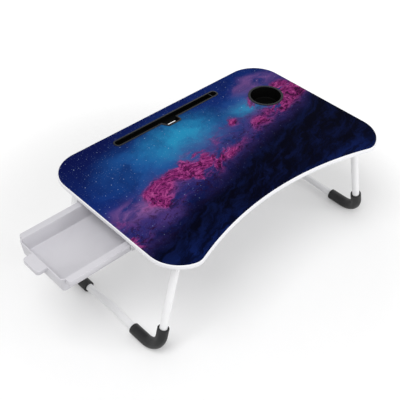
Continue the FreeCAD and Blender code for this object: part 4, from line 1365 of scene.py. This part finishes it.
@dataclass
class HingeHardware:
    """The four brackets, their pins and all the screws."""

    rounding: EdgeRounding = EdgeRounding(0.0003)
    pin_radius: float = 0.0025
    pin_head_radius: float = 0.0044
    pin_head_height: float = 0.0015
    pin_head_steps: int = 6
    pin_sides: int = 36
    pin_seed: int = 5
    screw_head_radius: float = 0.0033
    screw_head_height: float = 0.0019
    screw_head_shares: tuple = ((0.72, 1.0), (0.9, 0.86), (1.0, 0.55), (1.0, 0.0))
    screw_sharp: float = 38.0
    screw_seed: int = 11
    foot_screw_reach: float = 0.019
    recess_reach: float = 0.0017
    recess_half_width: float = 0.00045
    recess_depth: float = 0.0009
    recess_floor_share: float = 0.7

    def pin_pattern(self, length: float) -> Piece:
        """One hinge pin along Y: a shank and two domed heads.

        Args:
            length: its length over both heads.

        Returns:
            The pattern piece.
        """
        seat = length / 2 - self.pin_head_height
        dome = arc((0.0, 0.0), 1.0, 90.0, 0.0, self.pin_head_steps)[1:]
        upper = [(0.0, length / 2)]
        upper += [(self.pin_head_radius * x, seat + self.pin_head_height * y) for x, y in dome]
        upper.append((self.pin_radius, seat))
        profile = upper + [(radius, -height) for radius, height in reversed(upper)]
        return lathe("pin_pattern", profile, Vector(), self.pin_sides, ALONG_Y)

    def screw_pattern(self) -> Piece:
        """The head of one pan-head screw, pointing down, with a cross recess.

        Returns:
            The pattern piece.
        """
        half, reach, crown = self.recess_half_width, self.recess_reach, self.screw_head_height
        arm = [Vector((x, y, 0.0)) for x, y in ((half, half), (half, reach), (-half, reach))]
        turns = [Matrix.Rotation(math.pi / 2 * quarter, 3, "Z") for quarter in range(4)]
        cross = [turn @ point for turn in turns for point in arm]
        shape = bmesh.new()

        def ring(points: list, height: float) -> list:
            """Adds corners over the points, at a depth below the head's seat."""
            return [shape.verts.new((point.x, point.y, -height)) for point in points]

        rings = [ring([point * self.recess_floor_share for point in cross], crown - self.recess_depth),
                 ring(cross, crown)]
        for share, height in self.screw_head_shares:
            outer = [point.normalized() * self.screw_head_radius * share for point in cross]
            rings.append(ring(outer, crown * height))
        stitch(shape, rings)
        shape.faces.new(rings[0])
        shape.faces.new(rings[-1])
        return from_bmesh("screw_pattern", shape, self.screw_sharp)

    def brackets_and_pins(self, fasteners: GeometryTree, finishes: dict) -> None:
        """Makes and dresses the brackets and their pins.

        Args:
            fasteners: the tree that sets the pins.
            finishes: the materials, by slot.
        """
        places = []
        nodes = []
        for name in ("%s_%s" % (side.word, end.word) for side in Side for end in End):
            bracket = self.rounding.copy(name + "_hinge_bracket", name + "_bracket")
            dress(bracket, finishes, "bracket_steel", "table", name + "_hinge_bracket")
            low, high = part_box(name + "_hinge_pin")
            places.append((low + high) / 2)
            nodes.append(name + "_hinge_pin")
        pattern = self.pin_pattern(high.y - low.y)
        pins = fasteners.run(polyline("hinge_pins", places), pattern=pattern, axis=tuple(ALONG_Y),
                             seed=self.pin_seed, material=finishes["zinc_steel"])
        bpy.data.objects.remove(pattern)
        dress(pins, finishes, "zinc_steel", "table", *nodes)

    def screws(self, fasteners: GeometryTree, finishes: dict) -> None:
        """Makes and dresses the screws, each on the face that its head bears on.

        Args:
            fasteners: the tree that sets them.
            finishes: the materials, by slot.
        """
        pattern = self.screw_pattern()
        head = self.screw_head_radius
        for name, node in (("bracket_screws", "hinge_bracket_screws"), ("rail_screws", "drawer_rail_screws")):
            low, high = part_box(node)
            left, right = low.x + head, high.x - head
            between = [(left + right) / 2]
            if name == "bracket_screws":
                between = [left + 2 * self.foot_screw_reach, right - 2 * self.foot_screw_reach]
            places = [Vector((x, y, low.z + self.screw_head_height)) for x in (left, *between, right)
                      for y in (low.y + head, high.y - head)]
            screws = fasteners.run(polyline(name, places), pattern=pattern, axis=tuple(UP),
                                   seed=self.screw_seed, material=finishes["zinc_steel"])
            dress(screws, finishes, "zinc_steel", "table", node)
        bpy.data.objects.remove(pattern)

    def build(self, fasteners: GeometryTree, finishes: dict) -> None:
        """Makes and dresses the brackets, pins and screws, from the tree that sets them and the finishes."""
        self.brackets_and_pins(fasteners, finishes)
        self.screws(fasteners, finishes)


@dataclass
class Drawer:
    """The moulded tray and the two rails that it runs in."""

    tray_rounding: EdgeRounding = EdgeRounding(0.0008, 3)
    rail_rounding: EdgeRounding = EdgeRounding(0.0004)

    def build(self, finishes: dict) -> None:
        """Makes and dresses the tray and the rails.

        Args:
            finishes: the materials, by slot.
        """
        tray = self.tray_rounding.copy("drawer_tray", "pull_out_tray")
        dress(tray, finishes, "drawer_plastic", "drawer", "drawer_tray")
        for end in End:
            node = end.word + "_drawer_rail"
            rail = self.rail_rounding.copy(node, end.word + "_rail")
            dress(rail, finishes, "rail_plastic", "table", node)


# The studio.

@dataclass(frozen=True)
class SoftBox:
    """One lamp: a square of light that faces the table."""

    name: str
    place: tuple
    power: float
    side: float = 1.4
    target: tuple = (0.0, 0.0, 0.1)

    def hang(self) -> None:
        """Puts the lamp into the scene."""
        data = bpy.data.lights.new(self.name, "AREA")
        data.shape = "SQUARE"
        data.size = self.side
        data.energy = self.power
        aim(link(self.name, data), Vector(self.place), Vector(self.target) - Vector(self.place))


@dataclass
class Studio:
    """Camera, lamps, floor and world."""

    camera_place: tuple = (-0.8069, -0.8943, 1.2432)
    camera_look: tuple = (0.5045, 0.5510, -0.6648)
    focal_length: float = 69.97
    sensor: float = 36.0
    clip_start: float = 0.01
    clip_end: float = 100.0
    lamps: tuple = (SoftBox("top_box", (-1.15, -0.5, 2.4), 31.0),
                    SoftBox("front_box", (1.1, -2.4, 1.0), 23.0))
    world_light: float = 0.53
    floor_reach: float = 12.0
    floor_gap: float = 0.0003
    floor_colour: tuple = (0.84, 0.84, 0.84)
    floor_roughness: float = 0.9
    floor_lift: tuple = (0.38, 1.05, 0.15, 0.62)

    def camera(self) -> None:
        """Puts the camera where the photo's camera stood."""
        data = bpy.data.cameras.new("camera")
        data.lens = self.focal_length
        data.sensor_width = self.sensor
        data.clip_start = self.clip_start
        data.clip_end = self.clip_end
        camera = link("camera", data)
        aim(camera, Vector(self.camera_place), Vector(self.camera_look))
        bpy.context.scene.camera = camera

    def world(self) -> None:
        """A surround that is white to the camera, gloss and glass and lights the object less."""
        world = bpy.data.worlds.new("studio")
        bpy.context.scene.world = world
        world.use_nodes = True
        nodes = Nodes(world.node_tree)
        strength = nodes.add("MapRange", {"Value": nodes.seen(), "To Min": self.world_light, "To Max": 1.0})
        background = world.node_tree.nodes["Background"].inputs
        nodes.join(WHITE, background["Color"])
        nodes.join(strength.outputs[0], background["Strength"])

    def floor(self) -> None:
        """A pale floor that whitens away from the table and can't be seen from below.

        Shadows stay on it, because its own light reaches the camera, gloss and glass alone. Its
        lift is the distances between which that light grows, and then its strength at each.
        """
        reach = self.floor_reach
        mesh = bpy.data.meshes.new("floor")
        corners = [(-reach, -reach), (reach, -reach), (reach, reach), (-reach, reach)]
        mesh.from_pydata([(x, y, -self.floor_gap) for x, y in corners], [], [(0, 1, 2, 3)])
        floor = link("floor", mesh)
        shader = Shader("studio_floor")
        lift = shader.step(shader.vector("LENGTH", shader.place()), *self.floor_lift)
        shader.set(Base_Color=self.floor_colour, Roughness=self.floor_roughness, Specular_IOR_Level=0.0,
                   Emission_Color=WHITE, Emission_Strength=shader.product(shader.seen(), lift))
        below = shader.product(shader.add("LightPath").outputs["Is Camera Ray"],
                               shader.add("NewGeometry").outputs["Backfacing"])
        faces = {"Fac": below, 1: shader.surface.outputs[0], 2: shader.add("BsdfTransparent").outputs[0]}
        surface = shader.tree.nodes["Material Output"].inputs["Surface"]
        shader.join(shader.add("MixShader", faces).outputs[0], surface)
        mesh.materials.append(shader.material)

    def build(self) -> None:
        """Sets up the whole studio."""
        self.camera()
        self.world()
        self.floor()
        for lamp in self.lamps:
            lamp.hang()
        bpy.context.scene.view_settings.view_transform = "Standard"


def make_finishes() -> dict:
    """The shared materials.

    Returns:
        The materials, by the record's slot.
    """
    finishes = [
        MouldedPlastic("edge_band_plastic", (0.88, 0.88, 0.9), (0.84, 0.84, 0.87), roughness=0.3,
                       grain=Noise(1400.0), grain_depth=0.00002),
        MouldedPlastic("black_plastic", (0.0018, 0.0018, 0.0017), (0.0028, 0.0028, 0.0026), roughness=0.5,
                       specular=0.03, grain=Noise(1800.0)),
        # Lip finish: the higher gloss is real, and the slightly lighter, bluer colour than black_plastic is
        # painted sheen.
        MouldedPlastic("polished_lip", (0.005, 0.006, 0.01), (0.008, 0.01, 0.015), roughness=0.35,
                       specular=0.18, grain=Noise(1200.0), grain_depth=0.00002),
        MouldedPlastic("drawer_plastic", (0.62, 0.61, 0.645), (0.59, 0.58, 0.615), roughness=0.42,
                       specular=0.4),
        MouldedPlastic("rail_plastic", (0.6, 0.6, 0.62), (0.56, 0.56, 0.58), roughness=0.5),
        MouldedPlastic("plug_plastic", (0.8, 0.8, 0.82), (0.76, 0.76, 0.78), roughness=0.4),
        PowderCoat("white_steel"),
        PowderCoat("bracket_steel", roughness=0.38),
        FootRubber(),
        ZincSteel(),
    ]
    return {finish.name: finish.material() for finish in finishes}


def main() -> None:
    """Builds every sub-assembly in order."""
    logging.basicConfig(level=logging.INFO, format="%(message)s")
    Studio().build()
    finishes = make_finishes()
    for part in (Board(), CupHolder(), TabletSlot()):
        part.build(finishes)
    tubes = tube_tree()
    fasteners = fastener_tree()
    for side in Side:
        FoldingLeg(side).build(tubes, fasteners, finishes)
    HingeHardware().build(fasteners, finishes)
    Drawer().build(finishes)


if __name__ == "__main__":
    main()
